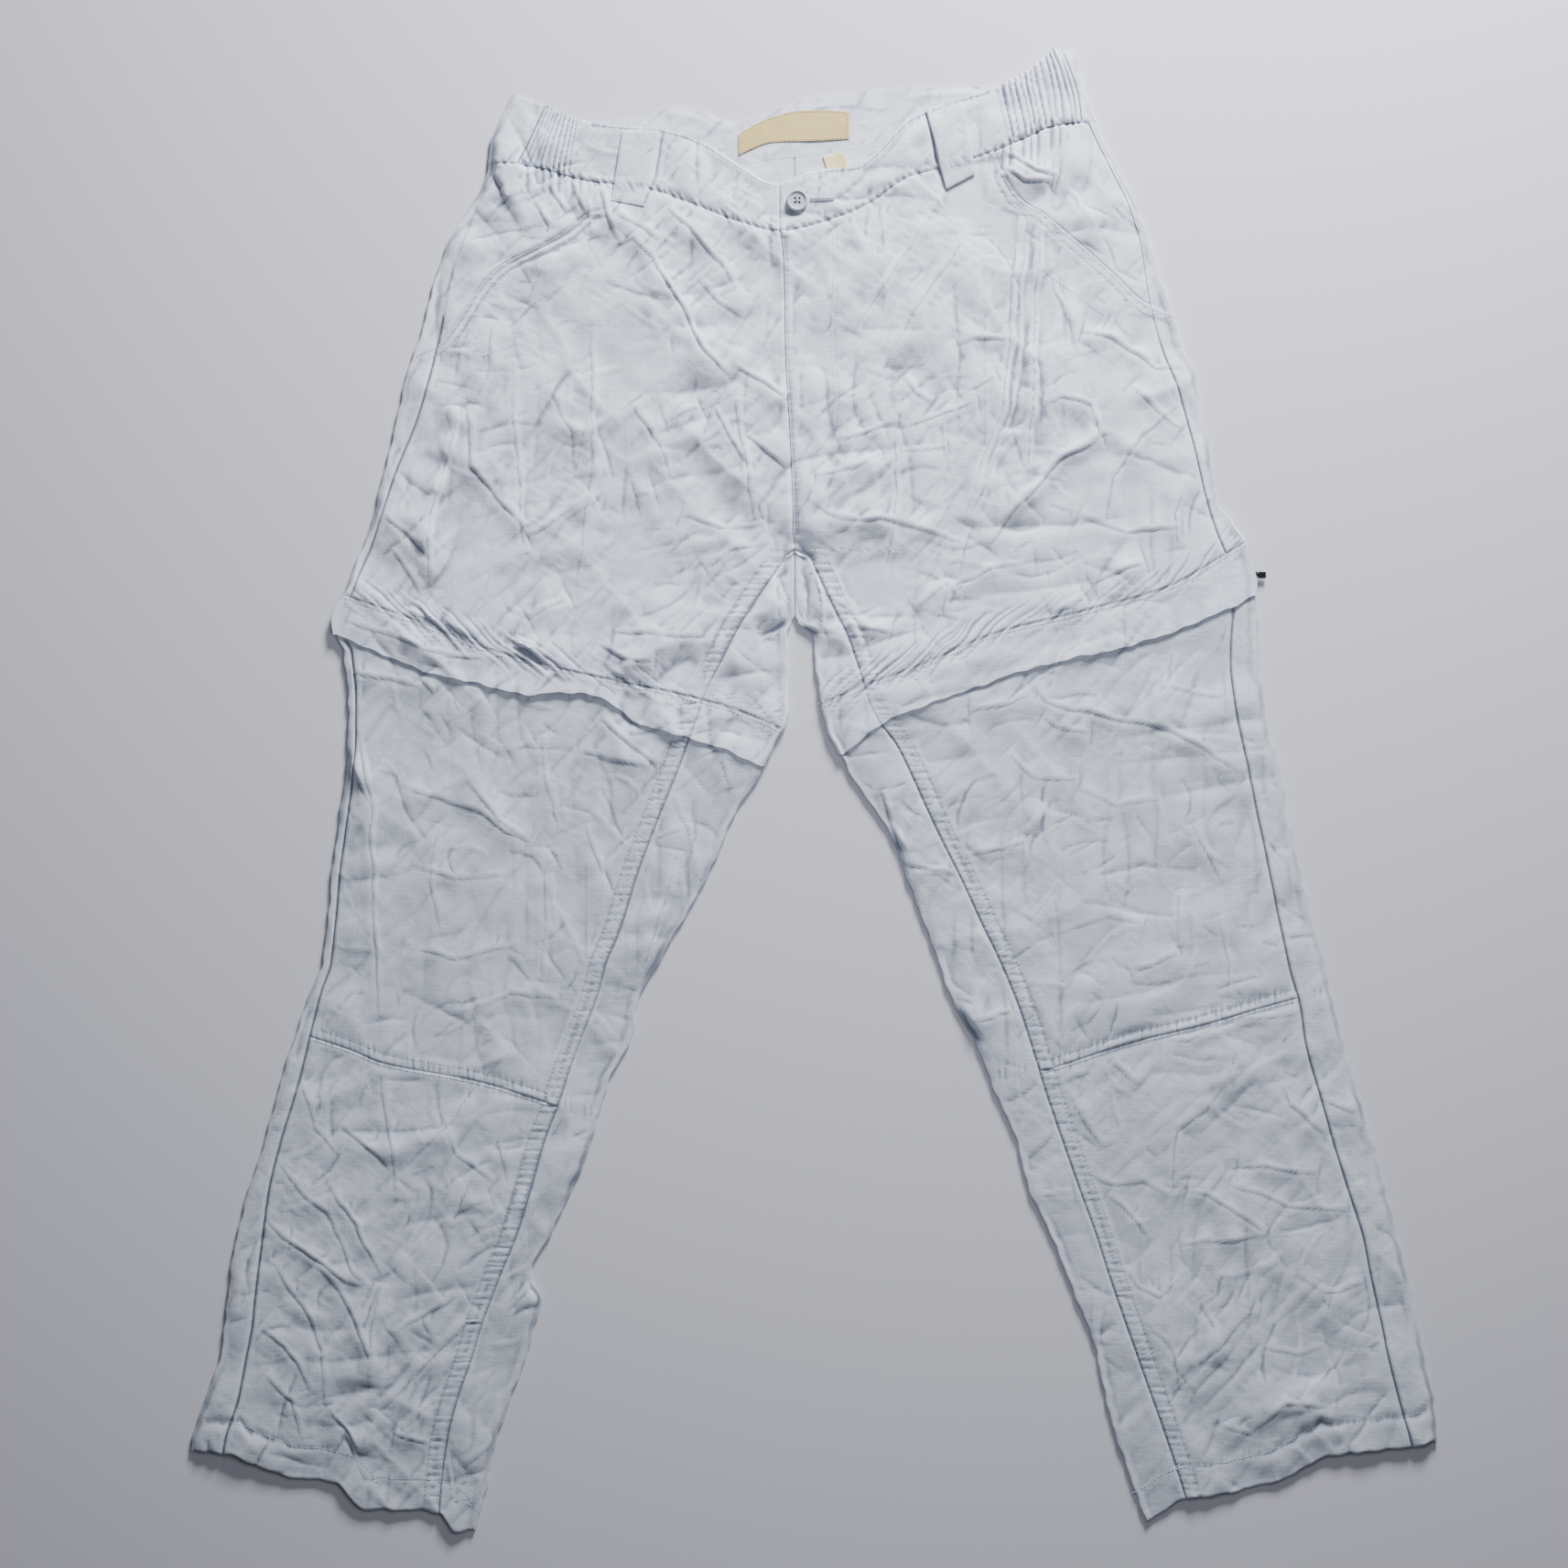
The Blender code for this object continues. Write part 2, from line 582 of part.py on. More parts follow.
def tube(name, flip, section, lines, stretches, low, top, edge, material, curl=None):
    """A piece that runs round a flattened leg. The turns are half circles. Everything is worked out with the outer
    edge at -X, and flip -1 mirrors it.

    lines: the outer and inner edge, the seam where the piece starts on top, and the one where it stops.
    low, top, edge: heights of the underside, of the top, and of the top at a folded edge.
    curl: for each row, how far the inner turn is rolled up, from 0 where the piece ends flat at the centre
    seam."""
    outer, inner, start, stop = lines
    kind, share = section.kind, section.share
    ends_open = section is RING

    def edges(y):
        """Outer and inner edge with the reach of the turn there."""
        at_outer, at_inner = outer(y), inner(y)
        reach_outer = (edge(at_outer, y) - low(at_outer, y)) / 2
        reach_inner = (edge(at_inner, y) - low(at_inner, y)) / 2
        return flip * at_outer, flip * at_inner, reach_outer, reach_inner

    def unrolled(reach, part):
        """How far the inner turn starts further out where it isn't rolled up."""
        return (1 - part) * ((np.pi - 1) * reach + FLAT_END + FLAT_SPARE)

    def place(y, part):
        a, b, reach_outer, reach_inner = edges(y)
        first, last = a + reach_outer, b - reach_inner - unrolled(reach_inner, part)
        begin, end = flip * start(y), flip * stop(y)
        strip = (1 - part) * np.pi * reach_inner
        choices = [
            begin + (first - begin) * share,
            first + 0 * share,
            first + (last - first) * share,
            last + strip * share,
            last + strip + (np.where(part > 0.99, end - last, FLAT_END)) * share,
            end + (begin - end) * share,
            begin + (first - begin) * share,
            first + 0 * share,
        ]
        return flip * np.choose(kind, np.broadcast_arrays(*choices))

    count = sum(len(rows) for _, _, rows in stretches)
    rolled = np.maximum(np.array(curl or [1] * count, float)[:, None], 0.02)
    x, y = settle_all(place, stretches, rolled)
    a, b, reach_outer, reach_inner = edges(y)
    base, height = low(x, y), top(x, y)
    x = flip * x
    skins = []
    for thickness in (0, CLOTH):
        angle = share * np.pi
        r = reach_outer - thickness
        turned = a + reach_outer - r * np.sin(angle), low(flip * a, y) + reach_outer + r * np.cos(angle)
        pivot, bend = b - reach_inner - unrolled(reach_inner, rolled), reach_inner / rolled
        under_inner = low(flip * b, y)
        r = bend - thickness
        swept = rolled * angle
        rolling = pivot + r * np.sin(swept), under_inner + bend - r * np.cos(swept)
        swept = rolled * np.pi
        tip = (
            pivot + r * np.sin(swept) + FLAT_END * share * np.cos(swept),
            under_inner + bend - r * np.cos(swept) + FLAT_END * share * np.sin(swept),
        )
        full = rolled > 0.99
        on_top = height - thickness
        places = [
            x,
            turned[0],
            x,
            rolling[0],
            np.where(full, x, tip[0]),
            x,
            x,
            a + (x - a) * share,
        ]
        heights = [
            on_top,
            turned[1],
            base + thickness,
            rolling[1],
            np.where(full, on_top, tip[1]),
            on_top,
            on_top,
            base + thickness,
        ]
        across_skin = np.choose(kind, np.broadcast_arrays(*places))
        height_skin = np.choose(kind, np.broadcast_arrays(*heights))
        if ends_open:
            across_skin = np.concatenate([across_skin, a[:, -1:]], axis=1)
            end_height = top(flip * a[:, -1:], y[:, -1:]) - thickness
            height_skin = np.concatenate([height_skin, end_height], axis=1)
        skins.append((flip * across_skin, height_skin))
    down = np.concatenate([y, y[:, -1:]], axis=1) if ends_open else y
    (outer_x, outer_z), (inner_x, inner_z) = skins
    return cloth(name, stack(outer_x, down, outer_z), stack(inner_x, down, inner_z), material)


def patch(name, corners, counts, base, thickness, material):
    """A strip over a quadrilateral, given clockwise from its upper left corner, lying at its base height."""
    corner = [(float(across(px)), float(along(py))) for px, py in corners]
    down = np.linspace(0, 1, counts[0])[:, None]
    aside = np.linspace(0, 1, counts[1])[None, :]
    x, y = (
        (corner[0][n] * (1 - aside) + corner[1][n] * aside) * (1 - down)
        + (corner[3][n] * (1 - aside) + corner[2][n] * aside) * down
        for n in (0, 1)
    )
    low = base(x, y)
    return cloth(name, stack(x, y, low + thickness), stack(x, y, low), material)


def block(size, centre, bevel=0.0):
    """A bevelled box as a mesh object."""
    bpy.ops.mesh.primitive_cube_add(size=1, location=centre)
    box = bpy.context.object
    box.scale = size
    bpy.ops.object.transform_apply(location=True, scale=True)
    if bevel:
        rounded = box.modifiers.new("rounded", "BEVEL")
        rounded.width = bevel
        rounded.segments = 1
    return box


def rod(radius, length, centre, sides):
    """A cylinder along Y."""
    bpy.ops.mesh.primitive_cylinder_add(
        vertices=sides, radius=radius, depth=length, location=centre, rotation=(math.pi / 2, 0, 0)
    )
    made = bpy.context.object
    bpy.ops.object.transform_apply(location=True, rotation=True)
    return made


def combined(name, first, others, material):
    """One solid from several: each other shape is joined to the first, or cut from it."""
    for operation, other in others:
        step = first.modifiers.new(operation.lower(), "BOOLEAN")
        step.operation = operation
        step.object = other
    seen = first.evaluated_get(bpy.context.evaluated_depsgraph_get())
    mesh = bpy.data.meshes.new_from_object(seen)
    mesh.name = name
    for used in [first] + [other for _, other in others]:
        bpy.data.objects.remove(used)
    mesh.shade_smooth()
    mesh.set_sharp_from_angle(angle=math.radians(30))
    return place_object(name, mesh, material)


def ribs_between(inner_line, end_line, count):
    """Raised ribs of a gathered elastic stretch, as a wave across the band."""

    def read(x, y):
        a, b = inner_line(y), end_line(y)
        share = (x - a) / (b - a)
        wave = 0.5 - 0.5 * np.cos(2 * np.pi * count * np.clip(share, 0, 1))
        return RIB_HEIGHT * wave

    return read


def build_shorts(side, leg, flip):
    """Front, pocket facing and back of one half of the shorts."""
    crotch, seam = leg["crotch_row"], past(leg["flap_seam"], 1)
    upper = np.linspace(0, 1, 12)
    lower = np.array([0.02, 0.045, 0.075, 0.2, 0.36, 0.52, 0.76, 1])
    away = -flip  # from the centre towards this half's outer edge

    def front_edge(y):
        """The pocket's edge, then the side seam below it."""
        return flip * np.maximum(flip * beside(leg["side"], flip)(y), flip * beside(leg["pocket"], flip)(y))

    def front_centre(y):
        """The fly's edge down to the crotch, then the inseam."""
        return np.where(y > CROTCH_Y, beside(FLY, away)(y), beside(leg["inseam"], away)(y))

    stretches = [(past(WAIST_FRONT, -1), crotch, upper), (crotch, seam, lower)]
    panel(f"front_shorts_{side}", front_edge, front_centre, stretches, FRONT_POINTS, body_top, NYLON)

    def facing_width(row):
        _, y = settle(leg["pocket"], WAIST_FRONT, crotch, np.array([[row]]))
        return float((flip * (leg["pocket"](y) - leg["side"](y))).item())

    facing_rows = [row for row in upper if facing_width(row) > FACING_TIP]
    facing = [(past(WAIST_FRONT, -1), crotch, facing_rows)]
    start, stop = beside(leg["side"], flip), beside(leg["pocket"], away)
    panel(f"pocket_facing_{side}", start, stop, facing, 7, body_top, NYLON)

    lines = leg["outer"], leg["inner"], beside(leg["side"], away), beside(leg["inseam"], flip)
    stretches = [(past(WAIST_BACK, -1), crotch, upper), (crotch, seam, lower)]
    curl = [0] * len(upper) + [1 / 3, 2 / 3] + [1] * (len(lower) - 2)
    name = f"back_shorts_{side}"
    tube(name, flip, WRAPPED, lines, stretches, floor, body_top, edge_top, NYLON, curl=curl)


def build_flap_and_zip(side, leg, flip):
    """Storm flap and zip, each running right round the leg from its outer edge and open there."""
    seam, free = leg["flap_seam"], leg["flap_edge"]
    lines = leg["outer"], leg["inner"], leg["side"], leg["inseam"]
    stretches = [(past(seam, -1), free, np.linspace(0, 1, 3))]
    tube(f"zip_flap_{side}", flip, RING, lines, stretches, floor, body_top, edge_top, NYLON)

    def zip_end(y):
        return leg["outer"](y) + flip * (SLIDER_LONG + 3 * SEAM_GAP)

    def zip_side(y):
        return zip_end(y) + flip * 6 * MM

    def zip_inner(y):
        return leg["inner"](y) - flip * (CLOTH + LAYER_GAP)

    def zip_low(x, y):
        return floor(x, y) + CLOTH + SEAM_GAP

    def zip_top(x, y):
        return body_top(x, y) - CLOTH - LAYER_GAP

    def zip_edge(x, y):
        return floor(x, y) + FLAP_EDGE_HEIGHT - CLOTH - LAYER_GAP

    lines = zip_end, zip_inner, zip_side, leg["inseam"]
    stretches = [(between(seam, free, 0.05), between(seam, free, ZIP_DEPTH - 0.06), np.linspace(0, 1, 3))]
    tube(f"thigh_zip_{side}", flip, RING, lines, stretches, zip_low, zip_top, zip_edge, ZIP_TAPE)


def build_leg(side, leg, flip):
    """Front upper, front lower and back of one zip-off leg."""
    away = -flip
    free = leg["flap_edge"]

    def tucked(line, gap, inward):
        """A line down the leg, moved half a seam's gap and a little in from the flap's edge where the leg is
        tucked."""
        return lambda y: beside(line, gap)(y) + inward * leg_inset(line(y), y)

    def under(depth):
        return lambda x: free(x) - depth

    top_line = past(between(leg["flap_seam"], free, ZIP_DEPTH), -1)
    thigh = [
        (top_line, under(TUCK_START), [0, 1]),
        (under(TUCK_START), under(TUCK_START + TUCK_FADE), [0.5, 1]),
        (under(TUCK_START + TUCK_FADE), past(leg["knee"], 1), np.linspace(0, 1, 8)[1:]),
    ]
    shin = [(past(leg["knee"], -1), leg["hem"], np.linspace(0, 1, 10))]
    start, stop = tucked(leg["side"], flip, flip), beside(leg["inseam"], away)
    panel(f"front_leg_upper_{side}", start, stop, thigh, FRONT_POINTS, leg_top, NYLON)
    panel(f"front_leg_lower_{side}", start, stop, shin, FRONT_POINTS, leg_top, NYLON)

    lines = (
        tucked(leg["outer"], 0, flip),
        tucked(leg["inner"], 0, away),
        tucked(leg["side"], away, flip),
        beside(leg["inseam"], flip),
    )
    tube(f"back_leg_{side}", flip, WRAPPED, lines, thigh + shin, leg_low, leg_top, leg_edge_top, NYLON)


def build_waistband():
    """Both front pieces with their elastic ribs, and the back piece that wraps over the ends."""
    depth = np.linspace(0, 1, 4)
    for side, leg, flip in (("R", RIGHT, 1), ("L", LEFT, -1)):
        inner_line, end_line = ELASTIC_START[side], ELASTIC_END[side]
        ends = end_line(WAIST_LEVEL), inner_line(WAIST_LEVEL)
        ribbed = (ends[1] - ends[0]) / (BAND_SPLIT - ends[0])
        # past the elastic, the points stand over those of the shorts' front
        pocket = leg["pocket"](WAIST_LEVEL)
        front_places = pocket + (BAND_SPLIT - pocket) * np.linspace(0, 1, FRONT_POINTS)
        over_front = (front_places - ends[0]) / (BAND_SPLIT - ends[0])
        over_ribs = np.linspace(0, ribbed, RIBS[side] * POINTS_PER_RIB + 1)
        shares = np.concatenate([over_ribs, over_front[over_front > ribbed]])

        def split(y):
            return BAND_SPLIT - flip * SEAM_GAP / 2 + 0 * y

        stretches = [(BAND_TOP_FRONT, past(WAIST_FRONT, 1), depth)]
        ribs = ribs_between(inner_line, end_line, RIBS[side])
        start = beside(end_line, flip)
        panel(f"waistband_front_{side}", start, split, stretches, shares, body_top, NYLON, ribs=ribs)
    around = Section(
        (Section.OUTER_TOP, 4, True, False),
        (Section.OUTER_TURN, TURN_POINTS, True, True),
        (Section.UNDER, 22, False, False),
        (Section.INNER_TURN, TURN_POINTS, True, True),
        (Section.INNER_TOP, 4, False, True),
    )
    lines = RIGHT["outer"], LEFT["outer"], beside(ELASTIC_END["R"], -1), beside(ELASTIC_END["L"], 1)
    stretches = [(BAND_TOP_BACK, past(WAIST_BACK, 1), depth)]
    tube("waistband_back", 1, around, lines, stretches, floor, body_top, edge_top, NYLON)


def build_on_top():
    """Belt loops and labels, each lying on its panel."""
    on_front = lambda x, y: body_top(x, y) + SEAM_GAP
    on_back = lambda x, y: floor(x, y) + CLOTH + SEAM_GAP
    behind_front = lambda x, y: body_top(x, y) - 2 * CLOTH - SEAM_GAP
    patch("belt_loop_R", [(680, 146), (722, 146), (704, 226), (668, 220)], (6, 4), on_front, CLOTH, NYLON)
    patch("belt_loop_L", [(1012, 124), (1051, 112), (1065, 188), (1034, 205)], (6, 4), on_front, CLOTH, NYLON)
    patch("main_label", [(808, 147), (926, 122), (929, 150), (810, 168)], (3, 5), on_back, LABEL_WALL, LABEL)
    patch("size_tag", [(899, 170), (922, 166), (927, 184), (904, 186)], (3, 3), on_back, LABEL_WALL, LABEL)
    patch("fly_zip", [(856, 262), (884, 262), (884, 520), (872, 520)], (8, 3), behind_front, CLOTH, ZIP_TAPE)


def build_button():
    """Four-hole button with a raised rim, turned and then drilled."""
    centre = (float(across(871)), float(along(219.5)))
    rim = BUTTON_RADIUS - BUTTON_RIM
    chamfer = 0.5 * MM
    well = BUTTON_HEIGHT - 0.8 * MM
    profile = [
        (0, well),
        (rim - chamfer, well),
        (rim, BUTTON_HEIGHT),
        (BUTTON_RADIUS - chamfer, BUTTON_HEIGHT),
        (BUTTON_RADIUS, BUTTON_HEIGHT - chamfer),
        (BUTTON_RADIUS, chamfer),
        (BUTTON_RADIUS - chamfer, 0),
        (0, 0),
    ]
    mesh = bpy.data.meshes.new("button profile")
    mesh.from_pydata([(r, 0, z) for r, z in profile], [(n, n + 1) for n in range(len(profile) - 1)], [])
    turned = bpy.data.objects.new("button profile", mesh)
    GARMENT.objects.link(turned)
    seat = float(body_top(np.array(centre[0]), np.array(centre[1]))) + BUTTON_SEAT
    turned.location = (*centre, seat)
    spin = turned.modifiers.new("turn", "SCREW")
    spin.steps = spin.render_steps = 32
    spin.use_merge_vertices = True
    spin.merge_threshold = 0.00001
    bpy.context.view_layer.update()
    solid = bpy.data.meshes.new_from_object(turned.evaluated_get(bpy.context.evaluated_depsgraph_get()))
    solid.transform(turned.matrix_world)
    bpy.data.objects.remove(turned)
    body = bpy.data.objects.new("button body", solid)
    GARMENT.objects.link(body)
    drills = []
    for turn in range(4):
        angle = math.pi / 4 + turn * math.pi / 2
        place = (
            centre[0] + BUTTON_HOLE_SPACING * math.cos(angle),
            centre[1] + BUTTON_HOLE_SPACING * math.sin(angle),
            seat + BUTTON_HEIGHT / 2,
        )
        bpy.ops.mesh.primitive_cylinder_add(
            vertices=12, radius=BUTTON_HOLE, depth=4 * BUTTON_HEIGHT, location=place
        )
        drills.append(("DIFFERENCE", bpy.context.object))
    combined("button", body, drills, BUTTON_PLASTIC)


def build_slider(side, leg, flip, level):
    """Slider at the zip's outer end, between the flap's two leaves. On L its pin stands out past the flap and
    carries the pull."""
    y = float(along(level))
    edge = float(leg["outer"](np.array(y)))
    middle = edge + flip * (SEAM_GAP + SLIDER_LONG / 2)
    body = block((SLIDER_LONG, SLIDER_WIDE, SLIDER_THICK), (middle, y, PULL_HEIGHT), bevel=0.5 * MM)
    if side == "R":
        combined("zip_slider_R", body, [], METAL)
        return
    pin = (edge - flip * PIN_OUT, y, PULL_HEIGHT)
    cheek_wide = 1.0 * MM
    cheek_off = PULL_NECK / 2 + SEAM_GAP + cheek_wide / 2
    cheek_root, cheek_tip = SEAM_GAP + 2 * MM, PIN_OUT + 0.8 * MM
    shapes = []
    for way in (-1, 1):
        centre = (edge + flip * (cheek_root - cheek_tip) / 2, y + way * cheek_off, PULL_HEIGHT)
        shapes.append(("UNION", block((cheek_root + cheek_tip, cheek_wide, 1.8 * MM), centre)))
    shapes.append(("UNION", rod(PIN_RADIUS, 2 * cheek_off, pin, 12)))
    combined("zip_slider_L", body, shapes, METAL)

    eye = rod(EYE_RADIUS, PULL_NECK, pin, 16)
    tab_long = PULL_REACH - EYE_RADIUS
    tab_middle = (pin[0] - flip * (EYE_RADIUS + tab_long / 2), y, PULL_HEIGHT)
    tab = block((tab_long, PULL_WIDE, PULL_THICK), tab_middle, bevel=0.3 * MM)
    neck = block((3 * MM, PULL_NECK, PULL_THICK), (pin[0] - flip * 1.5 * MM, y, PULL_HEIGHT))
    bore = rod(EYE_BORE, 2 * PULL_WIDE, pin, 16)
    combined("zip_pull_L", eye, [("UNION", neck), ("UNION", tab), ("DIFFERENCE", bore)], DARK_METAL)


for old in list(bpy.data.objects):
    bpy.data.objects.remove(old)
GARMENT = bpy.data.collections.new("convertible trousers")
bpy.context.scene.collection.children.link(GARMENT)
NYLON = finish("pale grey nylon", (0.56, 0.59, 0.65), 0.7)
ZIP_TAPE = finish("zip tape", (0.42, 0.44, 0.48), 0.8)
LABEL = finish("cream woven label", (0.80, 0.72, 0.52), 0.75)
BUTTON_PLASTIC = finish("grey button plastic", (0.55, 0.57, 0.60), 0.35)
METAL = finish("coated zinc", (0.35, 0.36, 0.38), 0.4, 0.8)
DARK_METAL = finish("dark coated zinc", (0.03, 0.03, 0.035), 0.45, 0.6)

for side_name, leg_lines, mirror in (("R", RIGHT, 1), ("L", LEFT, -1)):
    build_shorts(side_name, leg_lines, mirror)
    build_flap_and_zip(side_name, leg_lines, mirror)
    build_leg(side_name, leg_lines, mirror)
build_waistband()
build_on_top()
build_button()
build_slider("R", RIGHT, 1, 676)
build_slider("L", LEFT, -1, 628)
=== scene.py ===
# %% [markdown]
# # Convertible zip-off trousers, laid flat
# Thin pale nylon trousers lie front up on a pale surface, seen from straight above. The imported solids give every
# piece its place. Here each cloth piece becomes a thin shell on its solid's form, with creases, crumple and stitches.

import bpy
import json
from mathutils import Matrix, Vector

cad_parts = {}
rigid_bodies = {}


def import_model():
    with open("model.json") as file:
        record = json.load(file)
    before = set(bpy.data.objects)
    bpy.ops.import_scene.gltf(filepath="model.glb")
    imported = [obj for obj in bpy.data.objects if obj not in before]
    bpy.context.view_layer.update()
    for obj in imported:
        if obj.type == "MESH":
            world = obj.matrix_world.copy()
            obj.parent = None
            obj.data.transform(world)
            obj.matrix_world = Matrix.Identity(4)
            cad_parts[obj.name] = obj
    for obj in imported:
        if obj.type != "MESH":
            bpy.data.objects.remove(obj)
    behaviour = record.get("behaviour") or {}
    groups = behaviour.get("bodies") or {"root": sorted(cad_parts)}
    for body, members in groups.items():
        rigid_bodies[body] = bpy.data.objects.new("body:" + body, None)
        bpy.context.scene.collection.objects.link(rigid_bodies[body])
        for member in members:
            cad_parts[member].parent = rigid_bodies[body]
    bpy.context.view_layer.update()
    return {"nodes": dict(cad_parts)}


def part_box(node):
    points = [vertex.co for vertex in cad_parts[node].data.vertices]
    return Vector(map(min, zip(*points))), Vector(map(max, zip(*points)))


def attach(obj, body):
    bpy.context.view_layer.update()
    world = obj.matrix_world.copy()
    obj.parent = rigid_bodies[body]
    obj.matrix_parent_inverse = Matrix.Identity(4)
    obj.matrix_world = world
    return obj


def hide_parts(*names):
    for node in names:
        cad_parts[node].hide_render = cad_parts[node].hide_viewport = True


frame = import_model()

# %% Tools of the workshop
import json
import math

import bpy
import numpy as np
from mathutils import Vector

MM = 0.001
BODY = "trousers"

# %% [markdown]
# ## Camera
# The real trousers were seen from straight above, so the camera looks down and nothing is turned. One pixel of the
# 1713-pixel frame is 0.70 mm of cloth, which sets how high a 50 mm lens has to be.

# %% Camera
PIXEL = 0.70 * MM
FRAME_PIXELS = 1713
MIDDLE_ACROSS, MIDDLE_DOWN = 889.8, 863.1  # pixel over the origin
LENS, SENSOR = 50.0, 36.0

camera = bpy.data.objects.new("camera", bpy.data.cameras.new("camera"))
bpy.context.scene.collection.objects.link(camera)
camera.data.lens, camera.data.sensor_width = LENS, SENSOR
height = FRAME_PIXELS * PIXEL * LENS / SENSOR
aim = (FRAME_PIXELS / 2 - MIDDLE_ACROSS) * PIXEL, (MIDDLE_DOWN - FRAME_PIXELS / 2) * PIXEL
CLOTH_LEVEL = 5 * MM  # the frame is measured here
camera.location = (*aim, height + CLOTH_LEVEL)
camera.data.clip_end = 20
bpy.context.scene.camera = camera
print(f"camera {camera.location.z:.3f} m up, frame {FRAME_PIXELS * PIXEL:.3f} m wide")

# %% [markdown]
# ## Seam lines
# A maker's pattern is a set of lines. Lines that run down the garment give x for each level, and lines that run
# across give y for each place. Short tables hold them in pixels of the frame, and a smooth curve joins the rows.


# %% Pixel places and smooth lines
CENTRE, CROTCH = 868.0, 600.0


def across(pixel):
    """X of a pixel column."""
    return (np.asarray(pixel, float) - MIDDLE_ACROSS) * PIXEL


def along(pixel):
    """Y of a pixel level, which counts downwards."""
    return (MIDDLE_DOWN - np.asarray(pixel, float)) * PIXEL


CENTRE_X, CROTCH_Y = float(across(CENTRE)), float(along(CROTCH))


def smooth(share):
    """0 below 0, 1 above 1, and a soft S between."""
    t = np.clip(share, 0, 1)
    return t * t * (3 - 2 * t)


def curve(knots, values):
    """A smooth line through its knots that never swings past them: cubic pieces whose slopes are harmonic means."""
    order = np.argsort(knots)
    k, v = np.asarray(knots, float)[order], np.asarray(values, float)[order]
    step = np.diff(k)
    slope = np.diff(v) / step
    tangent = np.concatenate([slope[:1], np.zeros(len(k) - 2), slope[-1:]])
    product = slope[:-1] * slope[1:]
    same_way = product > 0  # a knot between a rise and a fall stays level
    total = np.where(same_way, slope[:-1] + slope[1:], 1)
    tangent[1:-1] = np.where(same_way, 2 * product / total, 0)

    def read(at):
        i = np.clip(np.searchsorted(k, at) - 1, 0, len(step) - 1)
        t = np.clip((at - k[i]) / step[i], 0, 1)
        rise = v[i + 1] - v[i]
        a = tangent[i] * step[i] - rise
        b = rise - tangent[i + 1] * step[i]
        return v[i] + t * rise + t * (1 - t) * (a * (1 - t) + b * t)

    return read


def column_lines(rows, *names):
    """Lines that run down the garment: {name: x as a function of y}. A row is one level with a place for each name."""
    table = np.array(rows, float)
    levels = along(table[:, 0])
    return {name: curve(levels, across(table[:, n + 1])) for n, name in enumerate(names)}


def row_line(*points):
    """A line that runs across the garment: y as a function of x."""
    table = np.array(points, float)
    return curve(across(table[:, 0]), along(table[:, 1]))


def at_pixels(points):
    """Points of a line given as pixel pairs."""
    px, py = np.array(points, float).T
    return np.column_stack([across(px), along(py)])


def level(height=0.0):
    """The same height everywhere."""
    return lambda x, y: height + 0 * (x + y)


# %% Lines of the garment
# Down each leg: level, outer edge, side seam, fly then inseam, inner edge
RIGHT = column_lines(
    [
        (60, 577, 586, 850, 867.8), (101, 560, 569, 850, 867.8), (168, 533, 542, 850, 867.8),
        (180, 533, 542, 851, 867.8), (231, 509, 518, 852, 867.8), (264, 489, 506, 855, 867.8),
        (306, 474, 491, 857, 867.8), (345, 464, 484, 858, 867.8), (378, 454, 477, 859, 867.8),
        (417, 441, 468, 860, 867.8), (456, 433, 456, 862, 867.8), (518, 418, 431, 865, 867.8),
        (571, 405, 414, 866, 867.8), (594, 397, 406, 867, 867.8), (604, 393, 402, 860, 867.8),
        (625, 384, 393, 847, 867.8), (652, 374, 383, 828, 867.8), (668, 364, 374, 818, 867.8),
        (680, 363, 373, 810, 866), (692, 364, 374, 803, 860), (714, 373, 383, 792, 861), (760, 379, 388, 769, 862),
        (790, 379, 388, 759, 860), (806, 379, 388, 753, 850), (842, 377, 386, 740, 834), (886, 371, 380, 722, 805),
        (958, 361, 370, 695, 773), (1016, 356, 365, 677, 740), (1055, 350, 360, 661, 718), (1085, 338, 350, 653, 700),
        (1136, 320, 337, 634, 689), (1174, 308, 328, 620, 669), (1206, 299, 319, 610, 657),
        (1248, 288, 306, 594, 646), (1302, 270, 293, 579, 624), (1353, 257, 286, 563, 599),
        (1394, 250, 281, 546, 580), (1420, 247, 278, 536, 591), (1450, 244, 275, 525, 584),
        (1487, 238, 268, 514, 573), (1530, 223, 260, 499, 557), (1574, 209, 246, 488, 542),
        (1627, 206, 238, 481, 531), (1680, 205, 230, 478, 517),
    ],
    "outer", "side", "inseam", "inner",
)
